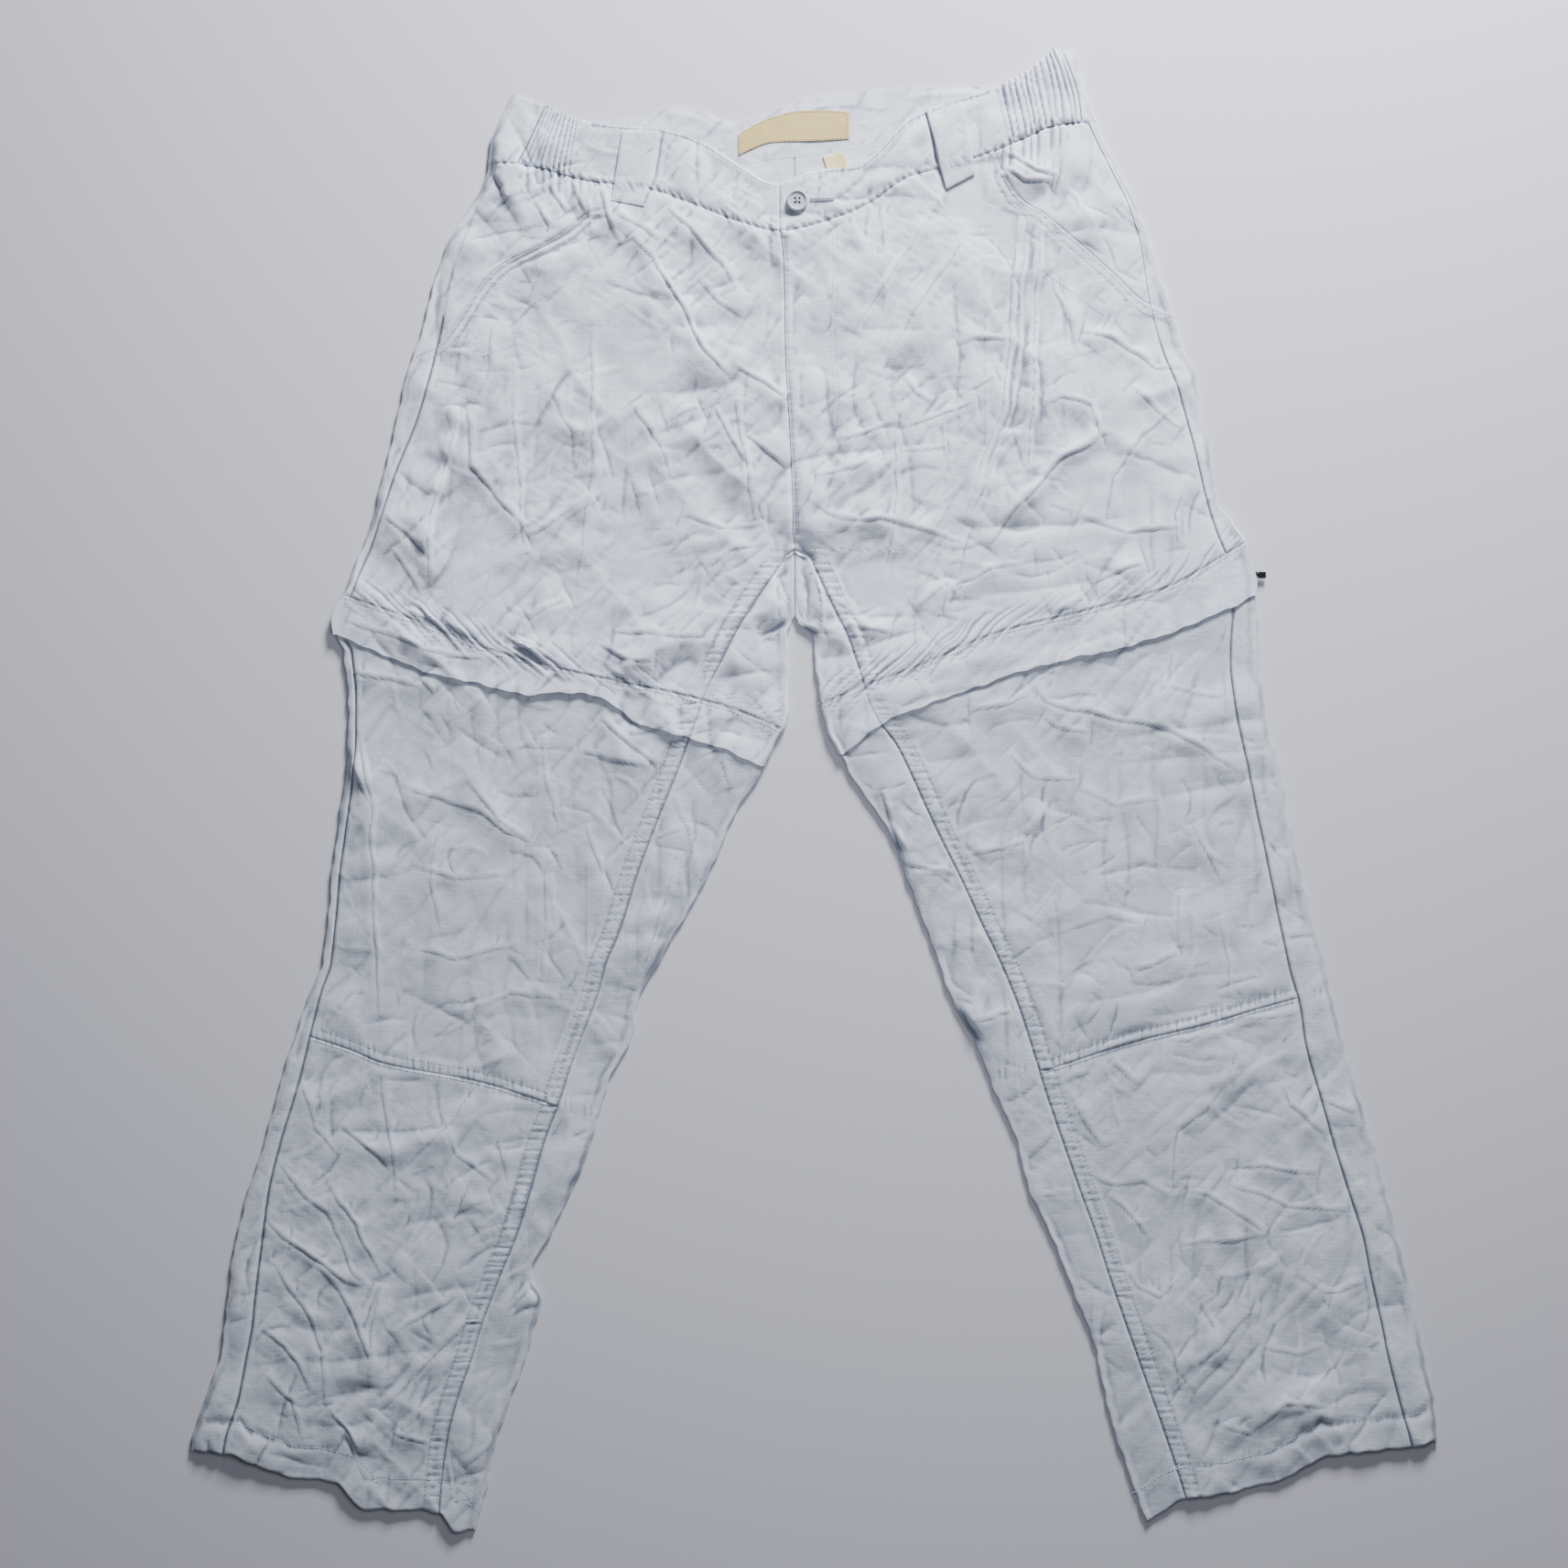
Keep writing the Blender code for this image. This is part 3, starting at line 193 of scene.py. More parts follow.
LEFT = column_lines(
    [
        (45, 1172, 1163, 850, 868.2), (84, 1183, 1174, 850, 868.2), (131, 1198, 1189, 850, 868.2),
        (180, 1221, 1212, 851, 868.2), (220, 1241, 1232, 852, 868.2), (266, 1259, 1247, 855, 868.2),
        (325, 1278, 1256, 858, 868.2), (385, 1297, 1272, 859, 868.2), (427, 1311, 1288, 860, 868.2),
        (476, 1320, 1302, 863, 868.2), (518, 1326, 1312, 865, 868.2), (550, 1332, 1320, 867, 868.2),
        (570, 1348, 1326, 868, 868.2), (588, 1360, 1332, 869, 868.2), (600, 1365, 1337, 875, 868.2),
        (607, 1367, 1340, 883, 868.2), (620, 1370, 1345, 890, 868.2), (652, 1374, 1350, 905, 868.2),
        (680, 1375, 1347, 919, 870), (692, 1375, 1346, 925, 887), (720, 1376, 1345, 935, 890),
        (769, 1382, 1349, 951, 896), (790, 1385, 1353, 962, 901), (813, 1391, 1358, 979, 910),
        (849, 1402, 1366, 997, 930), (889, 1407, 1374, 1015, 958), (930, 1416, 1383, 1035, 981),
        (962, 1424, 1389, 1051, 991), (1010, 1436, 1399, 1073, 1010), (1058, 1449, 1409, 1096, 1027),
        (1100, 1458, 1421, 1113, 1043), (1142, 1469, 1427, 1127, 1067), (1188, 1482, 1440, 1141, 1084),
        (1238, 1498, 1454, 1158, 1107), (1306, 1516, 1475, 1182, 1126), (1350, 1527, 1489, 1198, 1148),
        (1394, 1538, 1498, 1212, 1165), (1452, 1550, 1511, 1232, 1189), (1480, 1556, 1516, 1242, 1198),
        (1531, 1567, 1529, 1260, 1208), (1582, 1572, 1543, 1278, 1223), (1641, 1574, 1556, 1297, 1244),
        (1668, 1575, 1562, 1305, 1254),
    ],
    "outer", "side", "inseam", "inner",
)

# Slanted pocket openings: level, edge of the opening. The last row carries the line out past the side seam.
RIGHT |= column_lines(
    [(185, 660), (228, 644), (254, 617), (272, 584), (292, 545), (322, 518), (345, 504), (373, 482), (395, 440),
     (600, 340)],
    "pocket",
)
LEFT |= column_lines(
    [(150, 1080), (192, 1097), (215, 1112), (235, 1143), (255, 1166), (275, 1190), (304, 1222), (330, 1250),
     (352, 1300), (600, 1420)],
    "pocket",
)

# Lines across each leg: place, level
RIGHT["flap_seam"] = row_line(
    (350, 640), (392, 656), (448, 676), (545, 713), (662, 742), (740, 758), (805, 776), (866, 802)
)
RIGHT["flap_edge"] = row_line(
    (350, 690), (368, 694), (412, 712), (464, 733), (545, 752), (580, 760), (612, 756), (652, 761), (704, 793),
    (745, 804), (789, 818), (866, 853)
)
RIGHT["knee"] = row_line((310, 1124), (379, 1146), (420, 1162), (519, 1181), (583, 1200), (620, 1213), (700, 1232))
RIGHT["hem"] = row_line(
    (190, 1586), (247, 1587), (273, 1599), (323, 1615), (365, 1620), (399, 1650), (449, 1650), (480, 1654), (497, 1675),
    (518, 1670), (560, 1660)
)
LEFT["flap_seam"] = row_line(
    (1390, 574), (1338, 606), (1272, 643), (1183, 668), (1091, 691), (1003, 728), (938, 752), (880, 778)
)
LEFT["flap_edge"] = row_line(
    (1390, 645), (1374, 649), (1348, 662), (1292, 686), (1236, 705), (1131, 729), (1043, 759), (970, 787), (918, 825),
    (880, 846)
)
LEFT["knee"] = row_line(
    (1060, 1186), (1142, 1169), (1230, 1141), (1325, 1117), (1383, 1100), (1430, 1089), (1480, 1086)
)
LEFT["hem"] = row_line(
    (1235, 1668), (1254, 1662), (1300, 1637), (1341, 1632), (1400, 1617), (1461, 1589), (1507, 1585), (1590, 1573)
)

# Level of the crotch, tilted at the outer edge to stay above the flap
RIGHT["crotch_row"] = row_line((350, 590), (860, CROTCH), (900, CROTCH))
LEFT["crotch_row"] = row_line((840, CROTCH), (880, CROTCH), (1200, 570), (1400, 520))

# Edge of the fly, which the two fronts share above the crotch: level, place
FLY = column_lines([(240, 852), (290, 857), (395, 859), (483, 864), (536, 866), (598, 867.5)], "edge")["edge"]

# Lines across the waist, from end to end
BAND_TOP_FRONT = row_line(
    (533, 92), (560, 101), (597, 115), (639, 133), (723, 141), (765, 154), (801, 175), (847, 199), (889, 186),
    (934, 182), (959, 164), (994, 129), (1030, 114), (1087, 95), (1132, 71), (1152, 53), (1175, 52), (1200, 52)
)
BAND_TOP_BACK = row_line(
    (533, 92), (560, 101), (597, 115), (639, 132), (694, 127), (745, 114), (804, 131), (839, 121), (890, 104),
    (979, 95), (1087, 92), (1132, 71), (1152, 53), (1175, 52), (1200, 52)
)
WAIST_FRONT = row_line(
    (520, 178), (540, 179), (562, 180), (584, 182), (638, 196), (708, 206), (755, 222), (806, 241), (851, 252),
    (912, 238), (950, 221), (991, 194), (1026, 183), (1074, 169), (1116, 152), (1151, 137), (1175, 134), (1210, 132)
)
WAIST_BACK = row_line(
    (520, 178), (540, 179), (562, 180), (600, 182), (700, 183), (790, 179), (860, 171), (930, 162), (1030, 149),
    (1130, 139), (1151, 137), (1175, 134), (1210, 132)
)
# Where the waistband's back piece meets each front piece on top: level, place
ELASTIC_END = column_lines([(45, 1157, 614), (110, 1180, 596), (180, 1185, 566)], "L", "R")
# Inner end of each elastic stretch
ELASTIC_START = column_lines([(95, 1087, 640), (200, 1112, 625)], "L", "R")
BAND_SPLIT = float(across(850))  # from here on the right front band lies lower, under the left one's end

# %% [markdown]
# ## Heights of the laid cloth
# Laid flat, the garment is a few layers high. One height is worked out for the whole top, lowest at the folded
# edges and highest on the storm flaps, and every piece on top reads it, so layers never cross.

# %% Waver of the edges
WAVER = 0.55 * MM
INNER_START = along(676)  # above this level both inner edges are the centre seam


def wavering(line, seed, reach=WAVER):
    """A line with the small waver of cloth added: the mean of sines 16, 27 and 49 mm long, times reach."""
    start = np.random.default_rng(seed).uniform(0, 2 * np.pi, 3)

    def read(at):
        waves = [np.sin(2 * np.pi * np.asarray(at) / (long * MM) + s) for long, s in zip((16, 27, 49), start)]
        return line(at) + reach * sum(waves) / 1.7

    return read


def seamed(line, middle):
    """An inner edge that is the centre seam above its start."""
    return lambda y: np.where(y > INNER_START, middle, line(y))


for number, (lines, name) in enumerate(
    [(RIGHT, "outer"), (RIGHT, "inner"), (LEFT, "outer"), (LEFT, "inner"), (RIGHT, "hem"), (LEFT, "hem")]
):
    lines[name] = wavering(lines[name], number)
for lines, centre in ((RIGHT, 867.8), (LEFT, 868.2)):
    lines["inner"] = seamed(lines["inner"], across(centre))
print("edges waver by", WAVER / MM, "mm")

# %% Heights
EDGE_HEIGHT, BODY_HEIGHT = 3.6 * MM, 4.8 * MM  # at a folded edge, and over the panels
FLAP_EDGE_HEIGHT, FLAP_HEIGHT = 6.3 * MM, 7.2 * MM
EDGE_FADE, FLAP_RISE = 22 * MM, 45 * MM
TUCK_START, TUCK_FADE = 2 * MM, 14 * MM
WALL = 0.8 * MM  # of a shell
SHEET = 1.2 * MM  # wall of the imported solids, which sets how far layers lie apart
LAYER_GAP = 0.5 * MM
TUCK_LIFT = SHEET + 0.3 * MM  # of what lies on the flap's lower leaf
LAYER = SHEET + LAYER_GAP


def which_leg(x, name):
    """A line read off the leg on whose side of the centre seam each place lies."""
    return np.where(x < CENTRE_X, RIGHT[name](x), LEFT[name](x))


def from_edge(x, y):
    """How far a place lies in from the nearest folded edge: the least of the distances to outer and inner edges."""
    inner = np.where(x < CENTRE_X, RIGHT["inner"](y) - x, x - LEFT["inner"](y))
    inner = np.hypot(np.maximum(inner, 0), np.maximum(y - CROTCH_Y, 0))
    return np.minimum(np.minimum(x - RIGHT["outer"](y), LEFT["outer"](y) - x), inner)


def flap_lift(x, y):
    """0 well above the flap and 1 on it."""
    return smooth(1 - (y - which_leg(x, "flap_seam")) / FLAP_RISE)


def edge_top(x, y):
    return EDGE_HEIGHT + (FLAP_EDGE_HEIGHT - EDGE_HEIGHT) * flap_lift(x, y)


def body_top(x, y):
    """Smooth top of shorts, band and flap: edge height + (full height - edge height) x how far inside."""
    edge = edge_top(x, y)
    full = BODY_HEIGHT + (FLAP_HEIGHT - BODY_HEIGHT) * flap_lift(x, y)
    return edge + (full - edge) * smooth((from_edge(x, y) - edge / 2) / EDGE_FADE)


def tuck(x, y):
    """1 where a leg is tucked under its flap, down to 0 below the flap's free edge."""
    return smooth(1 - (which_leg(x, "flap_edge") - y - TUCK_START) / TUCK_FADE)


def leg_low(x, y):
    return TUCK_LIFT * tuck(x, y)


def leg_inset(x, y):
    return LAYER * tuck(x, y)


def leg_edge_top(x, y):
    return EDGE_HEIGHT + (FLAP_EDGE_HEIGHT - LAYER - EDGE_HEIGHT) * tuck(x, y)


def leg_top(x, y):
    """Smooth top of a leg: just under the flap where it is tucked, then down to its own height."""
    tucked, edge = tuck(x, y), leg_edge_top(x, y)
    half = (edge - leg_low(x, y)) / 2
    inside = smooth((from_edge(x, y) - leg_inset(x, y) - half) / EDGE_FADE)
    free = EDGE_HEIGHT + (BODY_HEIGHT - EDGE_HEIGHT) * inside
    under = body_top(x, y) - LAYER
    top = free + (under - free) * tucked
    return edge + (top - edge) * smooth(inside * 4)


# %% [markdown]
# ## Relief
# Nylon keeps every crease it is given. All creases lie in one relief, a grid of heights 0.8 mm apart over the whole
# garment, which every piece reads. A crease rises as height x exp(-distance / width), with its crest slightly rounded
# and long soft flanks, as a real crease has. A lean makes one flank steeper.

# %% Relief grid
STEP = 0.8 * MM
CREASE_REACH, CREST = 5, 0.35  # how far a crease reaches and how wide its crest is rounded, in its own widths
HALF_WIDE, HALF_LONG = 0.494, 0.586
GRID_X = np.arange(-HALF_WIDE, HALF_WIDE, STEP)
GRID_Y = np.arange(-HALF_LONG, HALF_LONG, STEP)
GX, GY = np.meshgrid(GRID_X, GRID_Y)


def clouds(cell, seed, turn=0.0, stretch=1.0):
    """Soft random hills from -1 to 1: random heights one cell apart, mixed by t x t x (3 - 2t) both ways."""
    u = (GX * math.cos(turn) + GY * math.sin(turn)) / (cell * stretch)
    v = (GY * math.cos(turn) - GX * math.sin(turn)) / cell
    u, v = u - u.min(), v - v.min()
    i, j = u.astype(int), v.astype(int)
    dice = np.random.default_rng(seed).uniform(-1, 1, (i.max() + 2, j.max() + 2))
    s, t = smooth(u - i), smooth(v - j)
    near = dice[i, j] + (dice[i + 1, j] - dice[i, j]) * s
    far = dice[i, j + 1] + (dice[i + 1, j + 1] - dice[i, j + 1]) * s
    return near + (far - near) * t


BENT_X = GX + 1.5 * MM * clouds(22 * MM, 1) + 0.6 * MM * clouds(8 * MM, 2)
BENT_Y = GY + 1.5 * MM * clouds(22 * MM, 3) + 0.6 * MM * clouds(8 * MM, 4)
UNEVEN = 0.75 + 0.35 * clouds(13 * MM, 5, 0.5)
print("relief", GX.shape, "points")


def sample(relief, x, y):
    """Relief between its points: the mean of the four around a place, weighted by closeness."""
    u = np.clip((x - GRID_X[0]) / STEP, 0, len(GRID_X) - 1.001)
    v = np.clip((y - GRID_Y[0]) / STEP, 0, len(GRID_Y) - 1.001)
    u, v = np.broadcast_arrays(u, v)
    i, j = u.astype(int), v.astype(int)
    s, t = u - i, v - j
    low = relief[j, i] * (1 - s) + relief[j, i + 1] * s
    high = relief[j + 1, i] * (1 - s) + relief[j + 1, i + 1] * s
    return low * (1 - t) + high * t


def off_line(line, reach):
    """Window of the grid around a line of points, and there the distance from it, the side, and the length along it.
    The grid's places are bent a little, so straight stretches waver as cloth does."""
    window = tuple(
        slice(*np.searchsorted(grid, (line[:, n].min() - reach, line[:, n].max() + reach)))
        for n, grid in ((1, GRID_Y), (0, GRID_X))
    )
    x, y = BENT_X[window], BENT_Y[window]
    off, side, gone = np.full(x.shape, 1.0), np.zeros(x.shape), np.zeros(x.shape)
    run = 0.0
    for a, b in zip(line[:-1], line[1:]):
        step = b - a
        long = float(np.hypot(*step)) + 1e-9
        share = np.clip(((x - a[0]) * step[0] + (y - a[1]) * step[1]) / long**2, 0, 1)
        dx, dy = x - a[0] - share * step[0], y - a[1] - share * step[1]
        distance = np.hypot(dx, dy)
        nearer = distance < off
        off = np.where(nearer, distance, off)
        side = np.where(nearer, np.sign(step[0] * dy - step[1] * dx), side)
        gone = np.where(nearer, run + share * long, gone)
        run += long
    return window, off, side, gone, run


def crease(relief, line, width, height, lean=0.0):
    """Adds height x exp(-(distance softened at its crest) x (1 + lean x side) / width), faded at both ends."""
    window, off, side, gone, run = off_line(line, CREASE_REACH * width)
    fade = np.sqrt(np.sin(np.pi * np.clip(gone / run, 0, 1)))
    soft = CREST * width
    off = np.sqrt(off * off + soft * soft) - soft
    relief[window] += height * fade * UNEVEN[window] * np.exp(-off * (1 + lean * side) / width)


# %% [markdown]
# ## Creases set one by one
# These are the creases that the eye finds first: each row gives width and height in mm, lean, then the places that it
# runs through, in pixels. A height below 0 is a trough. Each is pressed three times: a crest, a sharp hollow on the
# side away from the light, and the broad low fold that carries both.

# %% Creases of the top
CREASES = [
    # right half of the shorts
    (5, 2.0, 0.5, 583, 186, 562, 196, 545, 206), (4, 1.2, 0.3, 575, 205, 548, 222, 530, 240),
    (6, 1.1, -0.3, 571, 295, 605, 272, 638, 257), (4, 0.9, 0.0, 673, 231, 700, 246, 724, 267),
    (4, 1.0, 0.2, 730, 224, 788, 285, 806, 311), (3.5, 1.5, 0.4, 714, 288, 745, 334, 768, 379, 798, 410),
    (3.5, 0.9, 0.2, 802, 397, 830, 413, 860, 433), (3.5, 1.0, -0.3, 818, 472, 840, 493, 860, 511),
    (3.5, 1.1, 0.2, 805, 433, 818, 508, 825, 566), (3, 0.8, 0.0, 783, 443, 801, 478, 818, 508),
    (3, 0.7, 0.4, 561, 391, 566, 475, 571, 573, 578, 605), (3, 0.6, -0.4, 649, 358, 648, 508, 640, 573, 630, 638),
    (4, 1.0, 0.2, 513, 443, 516, 511, 545, 544, 574, 576), (4, 1.0, -0.2, 578, 586, 604, 570, 646, 540),
    (3, 1.5, 0.5, 501, 446, 493, 491, 474, 557, 469, 589, 471, 641), (3, 0.8, 0.0, 727, 459, 746, 452, 766, 443),
    (3, 0.7, 0.0, 695, 540, 714, 534), (3, 1.0, 0.3, 448, 668, 480, 681), (3, 1.0, 0.3, 487, 676, 503, 687, 519, 698),
    (3, 0.9, 0.2, 545, 704, 587, 707), (3, 1.0, 0.3, 591, 711, 626, 735), (4, 0.9, 0.0, 578, 675, 623, 652),
    (4, 1.1, 0.3, 669, 688, 734, 694, 789, 693), (2.5, 0.7, 0.2, 382, 676, 464, 707, 532, 720),
    (4, 0.9, 0.2, 620, 262, 590, 300, 575, 330), (4, 0.8, -0.2, 530, 330, 505, 380, 497, 420),
    (4, 0.8, 0.2, 540, 350, 535, 400, 520, 440), (4, 0.7, 0.2, 690, 440, 720, 480, 735, 520),
    (5, 0.7, 0.0, 600, 420, 625, 470, 630, 520), (4, 0.7, 0.0, 745, 560, 790, 575, 840, 570),
    (4, 0.8, 0.3, 770, 620, 800, 600, 845, 590), (3, 0.7, -0.3, 420, 560, 445, 580, 470, 610),
    (3, 0.6, 0.0, 430, 600, 450, 625, 462, 650), (3, 0.9, 0.3, 640, 199, 643, 225, 647, 262),
    (3, 1.0, -0.3, 655, 200, 664, 233, 678, 268), (3, 1.3, 0.3, 624, 196, 633, 214, 641, 233),
    (3, 1.3, -0.3, 600, 196, 608, 214, 620, 232), (3, 1.1, 0.3, 585, 215, 600, 245, 596, 262),
    (3, 0.8, 0.3, 690, 258, 712, 282, 733, 314), (5, 0.9, 0.4, 760, 300, 790, 330, 815, 345),
    (3, 1.0, 0.3, 650, 700, 680, 716, 716, 722), (4, 1.5, 0.4, 560, 695, 585, 712, 606, 738),
    (4, -1.6, 0.0, 548, 700, 575, 716, 600, 734),
    # left half of the shorts
    (3, 0.9, 0.3, 1034, 208, 973, 301, 932, 364), (5, 0.9, -0.2, 1067, 241, 1008, 325, 969, 395, 934, 452),
    (5, -1.5, 0.0, 1127, 234, 1120, 304, 1117, 378, 1106, 450, 1075, 545),
    (2.5, 1.3, -0.4, 1115, 234, 1106, 308, 1104, 378, 1095, 448, 1053, 571),
    (2.5, 1.5, 0.5, 1138, 234, 1134, 304, 1131, 367, 1127, 438, 1124, 518),
    (3.5, 0.9, 0.2, 1046, 374, 1064, 367, 1102, 367), (3.5, 0.9, 0.2, 987, 410, 1001, 427, 1018, 438),
    (3.5, 0.8, 0.0, 1050, 431, 1088, 410), (3, 0.9, 0.3, 917, 481, 955, 469, 983, 460),
    (3, 0.9, 0.3, 985, 466, 1025, 452, 1067, 438), (3, 0.7, 0.3, 983, 492, 1036, 487),
    (3, 0.9, 0.2, 890, 520, 931, 511, 962, 495), (3, 1.0, -0.2, 1102, 466, 1081, 525, 1053, 571),
    (3, 0.9, 0.2, 1108, 466, 1122, 515), (4, 1.9, 0.4, 1201, 476, 1159, 504, 1117, 546, 1080, 599),
    (4, 1.2, 0.3, 1183, 360, 1215, 367, 1243, 385, 1264, 401, 1299, 401),
    (3, 1.0, 0.2, 1138, 445, 1159, 431, 1194, 441, 1201, 476),
    (4, 1.1, 0.3, 1288, 441, 1250, 473, 1218, 518, 1208, 571), (4, 1.4, 0.5, 882, 546, 920, 564, 966, 567, 1057, 592),
    (2.5, 0.6, 0.0, 990, 424, 980, 483, 980, 571, 959, 659), (3, 0.9, 0.2, 1039, 634, 1032, 673),
    (3, 0.9, 0.2, 1001, 666, 1039, 634), (3.5, 1.0, 0.0, 1187, 266, 1201, 231),
    (3, 1.4, 0.4, 1099, 167, 1131, 185, 1155, 189), (3, 1.2, 0.4, 1095, 182, 1117, 196, 1148, 196),
    (4, 1.0, 0.2, 1194, 634, 1250, 613), (3, 1.0, 0.2, 1148, 669, 1187, 652),
    (4, 0.8, 0.2, 1230, 300, 1215, 340, 1190, 380), (3.5, 0.8, -0.2, 1150, 300, 1170, 350, 1180, 390),
    (4, 0.9, 0.3, 1180, 560, 1230, 580, 1290, 575), (3, 0.8, 0.3, 1300, 520, 1285, 560, 1290, 600),
    (3, 0.7, 0.0, 1040, 640, 1080, 620, 1130, 612), (3, 0.8, 0.2, 895, 640, 925, 660, 950, 700),
    (3, 0.8, -0.2, 900, 690, 930, 680, 975, 690), (3, 0.7, 0.2, 1235, 420, 1260, 445, 1290, 470),
    # folds of the inner thighs at the crotch
    (1.5, -1.0, 0.0, 846, 618, 860, 605, 871, 603, 884, 607, 893, 617),
    (1.4, -1.2, 0.0, 866, 620, 852, 632, 858, 645, 868, 660, 878, 676),
    (1.4, -1.0, 0.0, 873, 620, 881, 630, 882, 655, 882, 684), (2, 1.4, 0.5, 844, 626, 846, 655, 847, 678, 840, 698),
    (2, 1.1, -0.4, 893, 626, 900, 660, 897, 690), (2.5, -1.2, 0.0, 829, 697, 845, 690, 862, 682),
    # right leg, above the knee
    (3, 1.2, 0.4, 382, 733, 422, 740, 461, 750), (3, 1.0, 0.2, 461, 740, 474, 756), (3, 1.0, 0.2, 467, 782, 493, 759),
    (3, 0.9, 0.2, 487, 789, 532, 763), (4, 1.7, 0.5, 652, 782, 701, 821, 721, 837),
    (3.5, 1.0, -0.2, 633, 818, 670, 830, 708, 837), (3, 0.8, 0.0, 558, 824, 584, 808),
    (3.5, 1.0, 0.2, 435, 857, 487, 873, 526, 886, 552, 906, 578, 915), (3.5, 0.8, -0.2, 509, 847, 545, 893, 584, 919),
    (3, 0.9, 0.3, 594, 802, 597, 847, 607, 893, 613, 909), (4, 0.9, 0.2, 600, 925, 597, 958, 596, 1007, 591, 1072),
    (3.5, 1.6, 0.4, 381, 769, 392, 811, 408, 873, 408, 925, 410, 1007, 415, 1110),
    (3, 1.0, -0.2, 379, 818, 392, 850, 408, 880), (3, 1.0, 0.2, 735, 867, 753, 909, 761, 961),
    (3, 2.2, 0.7, 740, 928, 730, 974, 711, 1033, 698, 1081), (3, 0.9, 0.2, 717, 912, 747, 902),
    (4, 0.7, 0.0, 450, 940, 500, 960, 560, 955), (4, 0.7, 0.2, 440, 1030, 500, 1045, 570, 1030),
    (4, 0.7, 0.0, 480, 900, 470, 960, 485, 1020), (3, 0.8, 0.2, 640, 900, 660, 950, 655, 1010),
    (3, 0.7, 0.0, 520, 1100, 560, 1085, 610, 1090), (3, 0.9, 0.3, 800, 800, 790, 830, 800, 860),
    # right leg, below the knee
    (4, 1.4, 0.3, 372, 1229, 404, 1254, 430, 1280),
    (4.5, 1.7, 0.4, 433, 1283, 461, 1254, 497, 1219, 519, 1187, 560, 1142),
    (3.5, 1.2, 0.0, 420, 1162, 420, 1193, 426, 1241, 433, 1286, 434, 1311),
    (3.5, 1.2, 0.3, 308, 1270, 334, 1305, 359, 1324, 375, 1356, 385, 1388, 404, 1407),
    (3.5, 1.2, 0.2, 359, 1292, 372, 1315, 391, 1337, 407, 1372, 417, 1394),
    (3.5, 1.3, 0.4, 286, 1327, 308, 1347, 343, 1369, 379, 1398, 404, 1407),
    (4, 1.6, 0.4, 296, 1375, 315, 1407, 340, 1439, 353, 1474, 356, 1535),
    (4, 1.4, 0.2, 347, 1378, 372, 1407, 391, 1442, 404, 1480, 404, 1512),
    (3.5, 1.2, 0.3, 283, 1449, 308, 1468, 328, 1490, 340, 1522),
    (3.5, 1.3, -0.4, 535, 1308, 500, 1321, 461, 1356, 430, 1388), (3, 0.9, -0.2, 551, 1321, 519, 1343),
    (3.5, 1.2, -0.3, 506, 1410, 471, 1430, 430, 1458), (4.5, 1.8, -0.4, 522, 1430, 487, 1465, 445, 1509, 404, 1550),
    (3.5, 1.3, 0.0, 417, 1401, 410, 1449, 404, 1512), (3, 1.2, 0.2, 360, 1537, 382, 1565, 393, 1590),
    (3, 1.2, -0.2, 413, 1540, 399, 1565, 394, 1588), (3, 1.1, 0.2, 432, 1565, 475, 1576),
    (3.5, 1.3, 0.3, 542, 1574, 508, 1602), (3.5, 1.0, 0.2, 480, 1210, 500, 1260, 540, 1290),
    (3, 0.9, -0.2, 330, 1180, 345, 1230, 372, 1262), (3.5, 1.0, 0.3, 560, 1200, 545, 1250, 560, 1300),
    (3, 1.0, 0.2, 440, 1560, 470, 1530, 500, 1520), (3, 1.0, -0.2, 290, 1500, 320, 1530, 330, 1570),
    (4, 1.3, 0.4, 576, 1398, 592, 1411, 590, 1428),
    # left leg, above the knee
    (4, 1.8, 0.4, 1127, 745, 1143, 765, 1171, 775, 1232, 785, 1276, 797, 1312, 813, 1360, 845),
    (3, 0.9, 0.2, 1139, 783, 1159, 795, 1191, 801), (3, 0.9, 0.0, 1059, 775, 1099, 769, 1127, 757),
    (3.5, 0.9, 0.2, 1051, 937, 1091, 925, 1123, 917), (3, 0.8, 0.0, 1127, 913, 1139, 877),
    (3, 0.8, 0.2, 1268, 749, 1344, 761), (3.5, 0.9, 0.2, 1304, 897, 1336, 962),
    (3.5, 0.9, -0.2, 1236, 1062, 1288, 1038), (3, 0.7, 0.0, 1159, 962, 1127, 1006),
    (3, 0.7, 0.2, 1288, 970, 1290, 1034), (2.5, 1.5, -0.6, 966, 861, 975, 900, 987, 933),
    (3, 1.0, 0.2, 987, 941, 1035, 950), (3.5, 1.1, 0.3, 1055, 1122, 1087, 1058),
    (3.5, 1.1, 0.3, 1055, 1118, 1107, 1104), (3.5, 0.9, 0.0, 1155, 1142, 1195, 1068),
    (4, 0.7, 0.2, 1180, 860, 1220, 880, 1270, 870), (4, 0.7, 0.0, 1150, 1020, 1210, 1000, 1250, 1010),
    (3, 0.8, 0.3, 1100, 820, 1130, 850, 1180, 850), (4, 0.7, 0.2, 1330, 1000, 1345, 1050, 1340, 1090),
    # left leg, below the knee
    (3, 1.3, 0.3, 1268, 1136, 1298, 1136, 1325, 1123, 1360, 1111, 1417, 1107),
    (4, 1.6, 0.3, 1356, 1138, 1337, 1184, 1318, 1211, 1287, 1234, 1283, 1295), (3, 0.9, 0.2, 1214, 1157, 1245, 1184),
    (3, 0.8, 0.0, 1172, 1203, 1207, 1253), (3.5, 1.1, 0.2, 1184, 1276, 1214, 1291, 1249, 1291, 1287, 1310),
